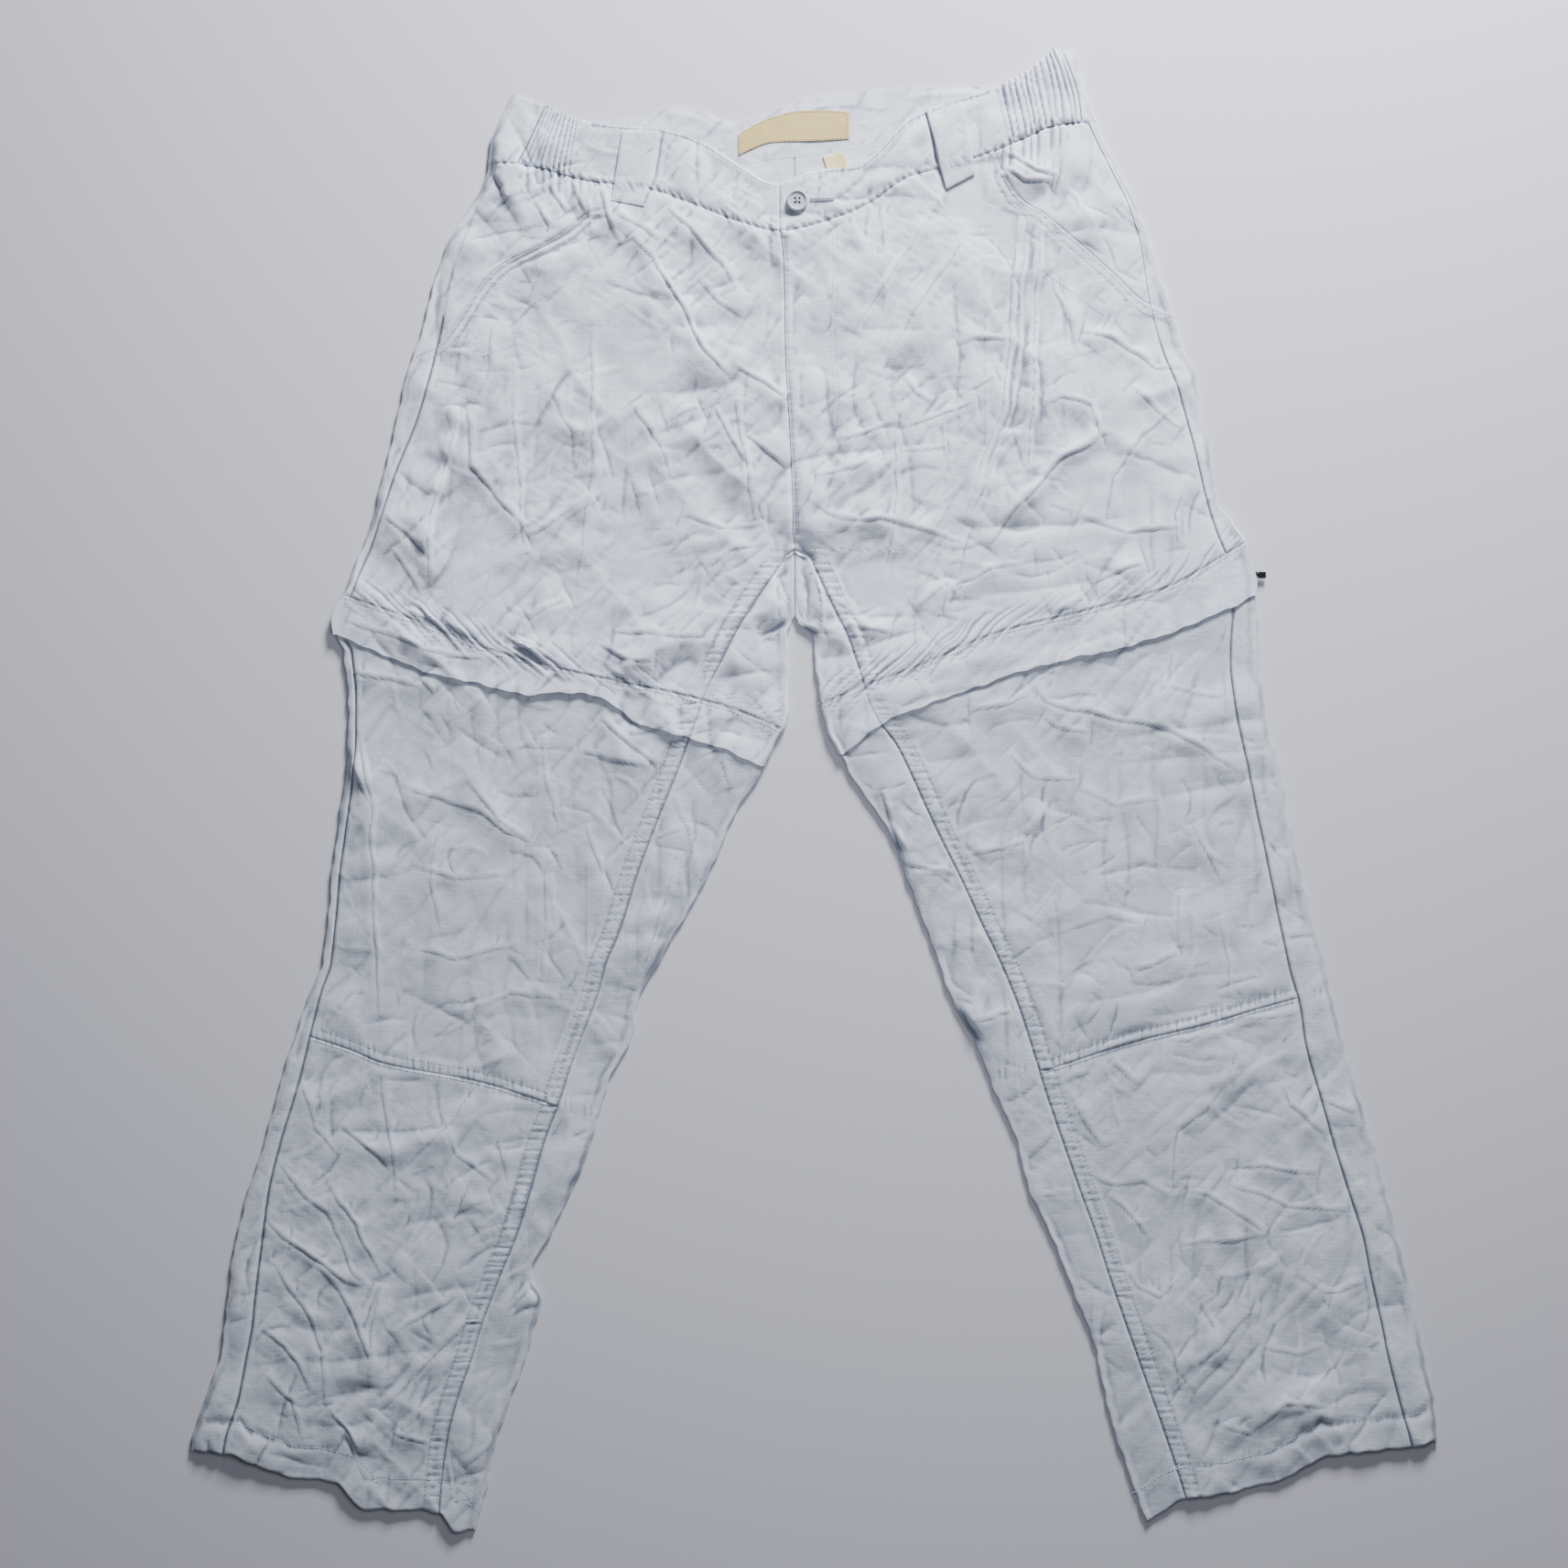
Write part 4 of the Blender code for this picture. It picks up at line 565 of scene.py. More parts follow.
    (3, 1.7, 0.5, 1298, 1299, 1321, 1304, 1352, 1324, 1383, 1345), (3, 1.1, 0.2, 1352, 1272, 1406, 1276, 1440, 1280),
    (3, 1.2, 0.3, 1344, 1291, 1406, 1314, 1474, 1322), (3.5, 1.1, -0.2, 1400, 1180, 1409, 1207, 1452, 1237),
    (3, 1.0, 0.2, 1444, 1199, 1494, 1218), (3, 1.0, 0.2, 1210, 1303, 1237, 1325, 1260, 1356),
    (3.5, 1.3, 0.3, 1230, 1383, 1245, 1406, 1268, 1417, 1298, 1387), (3.5, 1.2, 0.2, 1291, 1360, 1383, 1348),
    (4, 1.6, 0.4, 1398, 1375, 1375, 1394, 1367, 1433, 1333, 1471, 1291, 1505),
    (4, 1.3, -0.3, 1478, 1448, 1459, 1490, 1421, 1532),
    (3.5, 1.3, 0.3, 1330, 1555, 1367, 1566, 1402, 1531, 1459, 1537), (3, 0.8, 0.0, 1126, 1306, 1172, 1299),
    (4, 1.3, 0.0, 1188, 1462, 1200, 1464), (3.5, 1.0, 0.2, 1420, 1390, 1450, 1410, 1490, 1400),
    (3.5, 1.0, -0.3, 1310, 1420, 1330, 1450, 1320, 1490), (3.5, 1.0, 0.3, 1250, 1440, 1280, 1470, 1290, 1520),
    (3.5, 0.9, 0.2, 1380, 1470, 1420, 1480, 1450, 1470),
]
SHADED_SIDE = np.array([0.8 * MM, 1.6 * MM])  # from the hollow to its crest
RELIEF = np.zeros(GX.shape)
for width, height, lean, *places in CREASES:
    line = at_pixels(np.reshape(places, (-1, 2)))
    crease(RELIEF, line, 0.6 * width * MM, 0.65 * height * MM, lean)
    crease(RELIEF, line - SHADED_SIDE, 0.4 * width * MM, -0.8 * height * MM)
    crease(RELIEF, line, 2.6 * width * MM, 1.5 * height * MM, 0.8 * lean)
print(len(CREASES), "creases by hand, highest", round(float(RELIEF.max()) / MM, 2), "mm")

# %% [markdown]
# ## Crumple between the creases
# Between the listed creases, thin nylon is full of long soft folds. A crest stands where random hills change sign,
# because 0.4 - |hills| is sharp there, a height below 0 makes a trough of it, and hills drawn out one way give long
# ones. Seven sizes take turns over the garment. Then come many short creases, mostly hollows. The shorts get most.

# %% Crumple
# width of the folds (mm), height (mm), how many times longer than wide, direction (radians from X)
FOLDED = [
    (62, 3.2, 1.5, 0.5), (36, -2.1, 2.6, 1.0), (33, 1.7, 2.8, 2.3), (24, -1.3, 3.2, 0.15), (20, -0.9, 3.0, 1.6),
    (12, -0.5, 3.0, 0.8), (7, 0.16, 2.0, 2.6),
]


def crumpled(seed, sizes, reach=110 * MM):
    """Sum of share x height x (0.4 - |hills|), where each share comes and goes over the garment."""
    total = np.zeros(GX.shape)
    for n, (cell, tall, stretch, turn) in enumerate(sizes):
        hills = clouds(cell * MM, seed + n, turn, stretch) + 0.3 * clouds(cell * 0.5 * MM, seed + n + 40, turn, stretch)
        share = smooth(0.55 + 1.1 * clouds(reach, seed + n + 80, turn))
        total += share * tall * MM * (0.4 - np.sqrt(hills * hills + 0.03**2))
    return total


def scattered(relief, count, seed, tallest, longest=60):
    """Presses creases at random places, most of them along a direction that drifts over the garment."""
    dice = np.random.default_rng(seed)
    drift = 1.6 * clouds(170 * MM, seed + 1)
    for _ in range(count):
        x = dice.uniform(GRID_X[8], GRID_X[-8])
        y = dice.uniform(GRID_Y[8], GRID_Y[-8])
        turn = float(sample(drift, np.array(x), np.array(y))) + dice.normal(0, 0.6)
        size = dice.uniform(0, 1) ** 2
        long, bow = (10 + (longest - 10) * size) * MM, dice.normal(0, 0.1)
        share = np.linspace(-0.5, 0.5, 5)
        sway = bow * long * (1 - 4 * share**2)
        line = np.column_stack([
            x + long * share * math.cos(turn) - sway * math.sin(turn),
            y + long * share * math.sin(turn) + sway * math.cos(turn),
        ])
        way = dice.choice([-1, -1, 0.8])  # two hollows to each crest
        crease(relief, line, (0.7 + 1.6 * size) * MM, way * (0.35 + 0.65 * size) * tallest, dice.uniform(-0.8, 0.8))


lower = smooth((along(1050) - GY) / 0.12)  # 1 on the lower legs
amount = 1.1 + 0.3 * clouds(85 * MM, 21)
legs = smooth((which_leg(GRID_X, "flap_edge") - GY) / (8 * MM))  # 1 on the legs, 0 on the shorts
RELIEF = (2.4 - 0.9 * legs - 0.3 * lower) * RELIEF
RELIEF += (1.75 - 0.75 * legs + 0.25 * lower) * amount * crumpled(31, FOLDED)
small = np.zeros(GX.shape)
scattered(small, 1400, 51, 1.3 * MM)
RELIEF += 0.85 * small
print("relief with crumple from", (RELIEF.min() / MM).round(2), "to", (RELIEF.max() / MM).round(2), "mm")

# %% [markdown]
# ## Seams and their puckers
# A sewn seam is a shallow groove, and the thread draws the cloth into small puckers across it. Each row of stitching is
# listed once, and both the relief and the thread read that list.

# %% Rows of stitching
SIDES = (("R", RIGHT, 1), ("L", LEFT, -1))
# line, runs down (True) or across, from, to (pixels), distance from the line in mm, on a leg or the body
ROWS = []
for leg, flip, flap_foot, leg_head, leg_foot in ((RIGHT, 1, 750, 808, 1648), (LEFT, -1, 735, 806, 1630)):
    for start, stop, part in ((612, flap_foot, "body"), (leg_head, leg_foot, "leg")):
        ROWS += [(leg["inseam"], True, start, stop, -flip * off, part) for off in (1.6, 11.5)]
ROWS += [
    (RIGHT["flap_seam"], False, 372, 862, 1.9, "body"), (LEFT["flap_seam"], False, 884, 1364, 1.9, "body"),
    (RIGHT["flap_seam"], False, 372, 856, -2.2, "body"), (LEFT["flap_seam"], False, 890, 1364, -2.2, "body"),
    (RIGHT["knee"], False, 341, 612, -1.8, "leg"), (RIGHT["knee"], False, 343, 610, 7.5, "leg"),
    (LEFT["knee"], False, 1136, 1422, -1.8, "leg"), (LEFT["knee"], False, 1134, 1420, 7.5, "leg"),
    (RIGHT["hem"], False, 222, 530, 24.0, "leg"), (LEFT["hem"], False, 1244, 1562, 24.0, "leg"),
    (WAIST_FRONT, False, 568, 846, 1.8, "body"), (WAIST_FRONT, False, 856, 1176, 1.8, "body"),
    (BAND_TOP_FRONT, False, 644, 846, -2.0, "body"), (BAND_TOP_FRONT, False, 856, 1084, -2.0, "body"),
    (FLY, True, 256, 588, 2.2, "body"),
    (RIGHT["pocket"], True, 234, 388, 2.0, "body"), (RIGHT["pocket"], True, 234, 384, 7.0, "body"),
    (LEFT["pocket"], True, 190, 350, -2.0, "body"), (LEFT["pocket"], True, 190, 345, -7.0, "body"),
]


def path_of(line, down, start, stop, off):
    """Points about 0.4 mm apart on a seam line moved sideways by off: place + off x unit normal."""
    a, b = (along if down else across)([start, stop])
    at = np.linspace(a, b, int(abs(b - a) / (0.4 * MM)) + 2)
    read = line(at)
    slope = np.gradient(read, at)
    norm = np.sqrt(1 + slope * slope)
    if down:
        return np.column_stack([read + off / norm, at - off * slope / norm])
    return np.column_stack([at - off * slope / norm, read + off / norm])


def from_seam(line, down):
    """For every relief point, the signed distance from a seam line, and the length along the line."""
    grid = GRID_Y if down else GRID_X
    read = line(grid)
    norm = np.sqrt(1 + np.gradient(read, grid) ** 2)
    run = np.cumsum(norm) * STEP
    if down:
        return (GX - read[:, None]) / norm[:, None], np.broadcast_to(run[:, None], GX.shape)
    return (GY - read) / norm, np.broadcast_to(run, GX.shape)


TURN = 6.28  # once round, for random starts


def ripples(run, seed, sizes=(4.3, 6.1, 9.7)):
    """Small folds across a seam: the mean of sines of three lengths in mm."""
    start = np.random.default_rng(seed).uniform(0, TURN, 3)
    return sum(np.sin(2 * np.pi * run / (long * MM) + s) for long, s in zip(sizes, start)) / 3


def pucker(off, run, where, seed, tall):
    """Trough of one row of stitches with ripples across it, faded 4 mm away."""
    trough = -tall * np.exp(-(off / (1.1 * MM)) ** 2)
    return where * (trough + tall * ripples(run, seed) * UNEVEN * np.exp(-(np.abs(off) / (4.2 * MM)) ** 1.5))


def ladder(line, down, where, middle, reach, tall, seed, sizes=(3.9, 5.2, 7.1), slant=0.0):
    """Ripples of the drawn strip beside a seam: tall x ripples x exp(-(distance from its middle / reach) to the 4).
    A slant turns them from square across the seam to slanted."""
    signed, run = from_seam(line, down)
    run = run + slant * signed + 3 * MM * slant * clouds(14 * MM, seed)
    strength = np.exp(-((signed - middle * MM) / (reach * MM)) ** 4)
    return tall * MM * where * UNEVEN * ripples(run, seed, sizes) * strength


on_leg = GY < which_leg(GRID_X, "flap_edge") - MM
calm = np.ones(GX.shape)
seams = np.zeros(GX.shape)
for number, (line, down, start, stop, off, part) in enumerate(ROWS):
    signed, run = from_seam(line, down)
    grid, (a, b) = (GY, sorted(along([start, stop]))) if down else (GX, sorted(across([start, stop])))
    where = smooth((grid - a) / (3 * MM)) * smooth((b - grid) / (3 * MM))
    if down:
        where = where * (on_leg if part == "leg" else ~on_leg)
    seams += pucker(signed - off * MM, run, where, 100 + number, 0.2 * MM)
    calm = np.minimum(calm, 1 - 0.55 * where * np.exp(-(np.abs(signed - off * MM) / (4 * MM)) ** 2))


def groove(line, down, where, deep, wide):
    """Groove of a seam line: -deep x exp(-(distance / wide)²)."""
    signed, _ = from_seam(line, down)
    return -deep * MM * where * np.exp(-(signed / (wide * MM)) ** 2)


for _, leg, flip in SIDES:
    own = (GX < CENTRE_X) == (leg is RIGHT)
    shorts = own * (GY > which_leg(GRID_X, "flap_seam")) * (GY < along(150))
    seams += groove(leg["side"], True, shorts * (GY < along(345)), 0.8, 1.1)
    seams += groove(leg["side"], True, own * on_leg, 1.1, 1.2)
    seams += groove(leg["inseam"], True, own * (GY < CROTCH_Y), 0.5, 0.9)
    seams += groove(leg["flap_seam"], False, own, 0.2, 0.9)
    seams += groove(leg["knee"], False, own, 0.05, 0.8)
    seams += ladder(leg["inseam"], True, own * (GY < CROTCH_Y), -flip * 6.5, 5.5, 0.75, 200 - flip)
    seams += ladder(leg["knee"], False, own * on_leg, 4.0, 4.5, 0.4, 210 - flip)
    gathered = 0.35 + 0.65 * smooth(1.6 - np.abs(GX - across(520 if leg is RIGHT else 1010)) / (60 * MM))
    seams += ladder(leg["flap_seam"], False, own * gathered * ~on_leg, 4.0, 12.0, 1.6, 220 - flip, (9.3, 13.7, 21.1),
                    slant=1.9 * flip)
below_band = 1.0 * (GY > along(270))
elastic = sum(smooth(1.3 - np.abs(GX - across(px)) / (32 * MM)) for px in (606, 1128))
seams += ladder(WAIST_FRONT, False, elastic * below_band, -7.0, 10.0, 1.9, 230, (5.9, 8.3, 12.1))
seams += groove(WAIST_FRONT, False, below_band, 0.2, 1.0)
seams += ladder(WAIST_FRONT, False, below_band, 0.0, 4.0, 0.7, 240, (6.1, 8.9, 13.3), slant=0.8)
for gap in ([(725, 140), (717, 180), (706.5, 224)], [(1009, 122), (1020, 165), (1032, 205)]):  # beside the belt loops
    crease(seams, at_pixels(gap), 0.9 * MM, -1.8 * MM)
RELIEF = RELIEF * calm + seams
print(len(ROWS), "rows of stitching")

# %% [markdown]
# ## Where the relief ends
# At a folded edge the cloth turns under, so the relief fades out there. The lining of each shell is a coarser copy that
# stays below the outer face, so it reads the lowest relief nearby.

# %% Fade and lining
fade = smooth((from_edge(GRID_X[None, :], GRID_Y[:, None]) - 1.2 * MM) / (7 * MM))
DEEPEST, TALLEST, SOFT = -1.9 * MM, 7.0 * MM, 0.45 * MM
RELIEF = DEEPEST + SOFT * np.logaddexp(0, (RELIEF - DEEPEST) / SOFT)  # never below the layer underneath
RELIEF = np.minimum(RELIEF * fade, TALLEST)


def lowest_nearby(relief, reach=5):
    """The least value within reach steps both ways."""
    for axis in (0, 1):
        relief = np.minimum.reduce([np.roll(relief, step, axis) for step in range(-reach, reach + 1)])
    return relief


def spread_out(relief, reach=2):
    """Mean over a square of reach steps each way."""
    for axis in (0, 1):
        relief = sum(np.roll(relief, step, axis) for step in range(-reach, reach + 1)) / (2 * reach + 1)
    return relief


# Painted crease shade: 0.5 on a level place, 0 in a sharp hollow, 1 on a sharp crest. The cloth's colour reads it and
# is painted darker where it is low
PAINTED_CREASE_SHADE = np.clip(0.5 + (RELIEF - spread_out(spread_out(RELIEF))) / (0.42 * MM), 0, 1)
LINING = lowest_nearby(RELIEF)
UNDERSIDE = np.zeros(GX.shape)
scattered(UNDERSIDE, 600, 77, 0.6 * MM)
UNDERSIDE += crumpled(81, [(44, 0.8, 1.6, 0.4), (26, 0.6, 2.5, 1.4), (16, 0.35, 2.5, 2.4)])
for fold in (  # of the back band's inner face
    [(728, 119), (765, 127), (802, 138)], [(757, 148), (775, 135), (796, 139)], [(806, 190), (830, 182), (852, 196)],
    [(862, 188), (880, 180), (893, 186)], [(990, 108), (1030, 100), (1080, 97)],
):
    crease(UNDERSIDE, at_pixels(fold), 2.0 * MM, 1.4 * MM, 0.4)
flap_clear = smooth((np.abs(GY - which_leg(GRID_X, "flap_edge")) - 20 * MM) / (15 * MM))
UNDERSIDE = np.clip(UNDERSIDE + 0.1 * MM, 0, 0.9 * MM) * fade * flap_clear
UNDER_LINING = -lowest_nearby(-UNDERSIDE)
print("relief", (RELIEF.min() / MM).round(2), "to", (RELIEF.max() / MM).round(2), "mm, underside up to",
      (UNDERSIDE.max() / MM).round(2), "mm")

# %% [markdown]
# ## Finishes
# Nylon cloth is a plain weave of fine shiny threads. It is pale grey-blue, a little mottled, with a soft sheen, and
# painted darker in its sharp hollows as shade, where less light gets in. The weave itself has threads 0.25 mm apart,
# too fine for the frame, so it is drawn 0.9 mm apart.

# %% Colours and nodes
def linear(code, alpha=1.0):
    """Linear colour of an sRGB hex code: ((c + 0.055) / 1.055) to the 2.4, or c / 12.92 when dark."""
    parts = [int(code[n : n + 2], 16) / 255 for n in (0, 2, 4)]
    return (*(c / 12.92 if c <= 0.04045 else ((c + 0.055) / 1.055) ** 2.4 for c in parts), alpha)


def add(material, kind, inputs, **settings):
    """Adds a node. Inputs that are sockets are linked, and all others are set."""
    made = material.node_tree.nodes.new(kind)
    for key, value in settings.items():
        setattr(made, key, value)
    for key, value in inputs.items():
        if isinstance(value, bpy.types.NodeSocket):
            material.node_tree.links.new(value, made.inputs[key])
        else:
            made.inputs[key].default_value = value
    return made


def fresh(name, roughness, metallic=0.0):
    """A material and its Principled shader, with what is the same all over set on the shader."""
    material = bpy.data.materials.new(name)
    material.use_nodes = True
    shader = material.node_tree.nodes["Principled BSDF"]
    shader.inputs["Roughness"].default_value = roughness
    shader.inputs["Metallic"].default_value = metallic
    return material, shader


def link(material, source, shader, target):
    material.node_tree.links.new(source, shader.inputs[target])


def noise(material, place, size, detail, **settings):
    """Noise with features of a size in metres, and its nodes' 0 to 1 output."""
    inputs = {"Vector": place, "Scale": 1 / size, "Detail": detail, **settings}
    return add(material, "ShaderNodeTexNoise", inputs).outputs["Fac"]


def threads_of(material, place, apart, way, distortion, detail):
    """Waves as far apart as threads: Blender's wave repeats every 0.314 at scale 1."""
    inputs = {"Vector": place, "Scale": 0.314 / apart, "Distortion": distortion, "Detail": detail}
    return add(material, "ShaderNodeTexWave", inputs, bands_direction=way).outputs["Fac"]


def blend(material, share, dark, light):
    """Colour between two colours: dark at share 0, light at 1."""
    return add(material, "ShaderNodeMix", {"Factor": share, "A": dark, "B": light}, data_type="RGBA").outputs["Result"]


def dented(material, height, strength, deep, below=None):
    """Bump of a depth in metres, laid over another one."""
    inputs = {"Height": height, "Strength": strength, "Distance": deep} | ({"Normal": below} if below else {})
    return add(material, "ShaderNodeBump", inputs).outputs["Normal"]


def object_place(material):
    return add(material, "ShaderNodeTexCoord", {}).outputs["Object"]


# %% Nylon cloth
def nylon(name, light, dark, crease_shade_colour):
    """Dyed nylon taffeta, woven and crumpled: mottled colour, crinkles whose flat facets are 24 and 9 mm wide, a plain
    weave, and painted shade: the crease shade colour where the fold attribute is low, in the sharp hollows."""
    material, shader = fresh(name, 0.62)
    shader.inputs["Sheen Weight"].default_value = 0.12
    shader.inputs["Sheen Roughness"].default_value = 0.4
    shader.inputs["Specular IOR Level"].default_value = 0.35
    place = object_place(material)
    patches, flecks = noise(material, place, 0.05, 4.0, Roughness=0.6), noise(material, place, 0.0016, 2.0)
    mixed = add(material, "ShaderNodeMath", {0: patches, 1: flecks}, operation="ADD")
    tone = add(material, "ShaderNodeMapRange", {"Value": mixed.outputs[0], "From Min": 0.7, "From Max": 1.3})
    colour = blend(material, tone.outputs[0], linear(dark), linear(light))
    fold = add(material, "ShaderNodeAttribute", {}, attribute_name="fold").outputs["Fac"]
    depth = add(material, "ShaderNodeMapRange", {"Value": fold, "From Min": 0.0, "From Max": 0.55})
    link(material, blend(material, depth.outputs[0], linear(crease_shade_colour), colour), shader, "Base Color")
    warp = add(material, "ShaderNodeTexNoise", {"Vector": place, "Scale": 1 / 0.03, "Detail": 2.0}).outputs["Color"]
    bent = add(material, "ShaderNodeVectorMath", {0: warp, 1: (0.02, 0.02, 0.02), 2: place}, operation="MULTIPLY_ADD")
    normal = None
    for size, deep in ((0.024, 0.0016), (0.009, 0.0005)):
        facets = add(material, "ShaderNodeTexVoronoi", {"Vector": bent.outputs[0], "Scale": 1 / size},
                     feature="DISTANCE_TO_EDGE")
        faded = add(material, "ShaderNodeMath", {0: facets.outputs["Distance"], 1: patches}, operation="MULTIPLY")
        normal = dented(material, faded.outputs[0], 0.8, deep, normal)
    warp_threads, weft_threads = (threads_of(material, place, 0.0009, way, 0.6, 1.0) for way in "XY")
    weave = add(material, "ShaderNodeMath", {0: warp_threads, 1: weft_threads}, operation="ADD")
    link(material, dented(material, weave.outputs[0], 0.5, 0.00008, normal), shader, "Normal")
    return material


# The last colour of each nylon is painted shade for the sharp hollows of the creases.
NYLON_UPPER = nylon("nylon taffeta, shorts", "DCE1F1", "CCD2E2", "838A9C")
# The legs are the same nylon, painted darker: painted shade towards the hems.
NYLON_LEG_SHADED = nylon("nylon taffeta, legs", "CAD1DF", "BDC4D2", "778092")


# %% [markdown]
# ## Small finishes
# Thread is polyester, a shade darker than the cloth. The zip's tape is ribbed, its slider and pull are coated zinc, the
# button is moulded plastic, and the label is woven cream satin, left bare.

# %% Thread, tape, metal, plastic and label
def plain(name, light, dark, roughness, grain, deep, metallic=0.0):
    """A finish with a mottled colour and a fine bump: grain is its size in metres and deep its depth."""
    material, shader = fresh(name, roughness, metallic)
    cloud = noise(material, object_place(material), grain, 3.0)
    link(material, blend(material, cloud, linear(dark), linear(light)), shader, "Base Color")
    link(material, dented(material, cloud, 0.6, deep), shader, "Normal")
    return material


def woven_label(name, light, dark):
    """Woven satin label: weft floats 1.2 mm apart show as fine level lines, over a cream ground."""
    material, shader = fresh(name, 0.5)
    place = object_place(material)
    weft, cloud = threads_of(material, place, 0.0012, "Y", 0.8, 2.0), noise(material, place, 0.009, 3.0)
    both = add(material, "ShaderNodeMath", {0: weft, 1: cloud}, operation="MULTIPLY")
    link(material, blend(material, both.outputs[0], linear(dark), linear(light)), shader, "Base Color")
    link(material, dented(material, weft, 0.5, 0.0001), shader, "Normal")
    return material


THREAD = plain("polyester thread", "B4BCC9", "98A2B1", 0.6, 0.0008, 0.00003)
TAPE = plain("woven zip tape", "8E95A0", "7C838F", 0.8, 0.0012, 0.00006)
ZINC = plain("coated zinc", "6E7073", "585A5D", 0.4, 0.0009, 0.00002, 0.85)
DARK_ZINC = plain("dark coated zinc", "26272B", "17181B", 0.42, 0.0009, 0.00002, 0.6)
BUTTON_GREY = plain("moulded grey plastic", "B4BBC4", "A2AAB4", 0.38, 0.004, 0.00003)
CREAM_LABEL = woven_label("woven cream label", "DDCA8E", "C0A96C")
LABEL_THREAD = plain("tan thread", "B79F6E", "A48C5C", 0.6, 0.0008, 0.00003)
# Near-black thread of the button's shank: painted shade, seen through the button's holes.
HOLE_SHADE_THREAD = plain("grey button thread", "24272C", "1A1C20", 0.7, 0.0008, 0.00003)
WHITE_TAG = woven_label("woven white tag", "ECDFAE", "D6C48C")
print("finishes:", len(bpy.data.materials))

# %% [markdown]
# ## Shells
# Every cloth piece is a fine grid of points for its outer face and a coarser one for its lining, 0.8 mm inside, closed
# round the rim. Points are 1.65 mm apart on top and 6 mm underneath, with three short steps at each seam, where the
# edge rolls over. A point is placed by the seam lines, and settled until its place and its level agree.

# %% Grid helpers
PITCH, UNDER_PITCH = 1.65 * MM, 6 * MM
EVERY = 3  # the lining has every third row and column
SETTLE_STEPS = 22
HALF_GAP = 0.15 * MM  # from a seam line to the edge of a piece


def spread(length, pitch=PITCH):
    """Shares from 0 to 1: three short steps at both ends and even ones between, a multiple of three in all."""
    ends = np.array([0, 0.4, 1.0, 1.9]) * MM / length
    count = EVERY * max(1, round((1 - 2 * ends[-1]) * length / pitch / EVERY))
    middle = np.linspace(ends[-1], 1 - ends[-1], count + 1)
    return np.concatenate([ends[:-1], middle, 1 - ends[-2::-1]])


def even(length, pitch):
    """Shares from 0 to 1 in even steps, a multiple of three."""
    return np.linspace(0, 1, EVERY * max(1, round(length / pitch / EVERY)) + 1)


def settle(place, above, below, down):
    """Places and levels of a grid: each point lies a share of the way between two lines, read at its own place."""
    y = np.zeros(1)
    x = place(y)
    for _ in range(SETTLE_STEPS):
        top = above(x)
        y = (y + top + (below(x) - top) * down) / 2
        x = place(y)
    return np.broadcast_arrays(x, y)


def beside(line, side):
    """A seam line that runs down, moved half a gap to one side, measured across the seam."""
    def read(y):
        slope = (line(y + MM) - line(y - MM)) / (2 * MM)
        return line(y) + side * HALF_GAP * np.sqrt(1 + slope * slope)
    return read


def shifted(line, off):
    """A line moved by off."""
    return lambda at: line(at) + off


def rim(rows, cols):
    """Indices once round a grid."""
    index = np.arange(rows * cols).reshape(rows, cols)
    return np.concatenate([index[0, :-1], index[:-1, -1], index[-1, :0:-1], index[:0:-1, 0]])


def quads_of(index, turn=1):
    """Faces between the rows and columns of a grid of point numbers."""
    corners = index[:-1, :-1], index[:-1, 1:], index[1:, 1:], index[1:, :-1]
    return np.stack(corners, axis=-1).reshape(-1, 4)[:, ::turn]


def placed(name, points, faces, material, sharp=None, flip=False):
    """Smooth mesh that rides on the trousers. Edges bent by more than the sharp angle, in degrees, stay crisp."""
    mesh = bpy.data.meshes.new(name)
    mesh.from_pydata(points, [], faces)
    if flip:
        mesh.flip_normals()
    mesh.shade_smooth()
    if sharp:
        mesh.set_sharp_from_angle(angle=math.radians(sharp))
    mesh.materials.append(material)
    piece = bpy.data.objects.new(name, mesh)
    bpy.context.scene.collection.objects.link(piece)
    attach(piece, BODY)
    return piece


PIECES, CUTS = {}, {}
SHARP_CLOTH, SHARP_TURNED, SHARP_BORED = 62, 55, 40  # degrees
LARGE, COARSER = 60, 4  # a piece of more rows is measured on every fourth point


def shell(node, outer, lining, material):
    """Closed mesh of a fine outer grid and a coarser lining, turned so that its volume counts as positive."""
    every = (outer.shape[0] - 1) // (lining.shape[0] - 1)
    count = outer.shape[0] * outer.shape[1]
    grids = np.arange(count).reshape(outer.shape[:2]), count + np.arange(lining[..., 0].size).reshape(lining.shape[:2])
    faces = [quads_of(grids[0]), quads_of(grids[1], -1)]
    around, within = rim(*outer.shape[:2]), rim(*lining.shape[:2]) + count
    edges = [around[np.arange(n, len(around) + n, every) % len(around)] for n in range(every + 1)]
    hem = np.stack([within, np.roll(within, -1), *edges[::-1]], axis=1)
    points = np.concatenate([outer.reshape(-1, 3), lining.reshape(-1, 3)])
    volume = 0
    for quads in faces:
        for corners in ((0, 1, 2), (0, 2, 3)):
            a, b, c = (points[quads[:, n]] for n in corners)
            volume += np.einsum("ij,ij->", a, np.cross(b, c))
    piece = placed(node + "_cloth", points, [*faces[0].tolist(), *faces[1].tolist(), *hem.tolist()], material,
                   SHARP_CLOTH, volume < 0)
    # The fold attribute is the painted crease shade that the nylon's colour reads.
    fold = piece.data.attributes.new("fold", "FLOAT", "POINT")
    fold.data.foreach_set("value", sample(PAINTED_CREASE_SHADE, points[:, 0], points[:, 1]))
    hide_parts(node)
    PIECES[node] = piece
    return piece


def stack(x, y, z):
    return np.stack(np.broadcast_arrays(x, y, z), axis=-1)


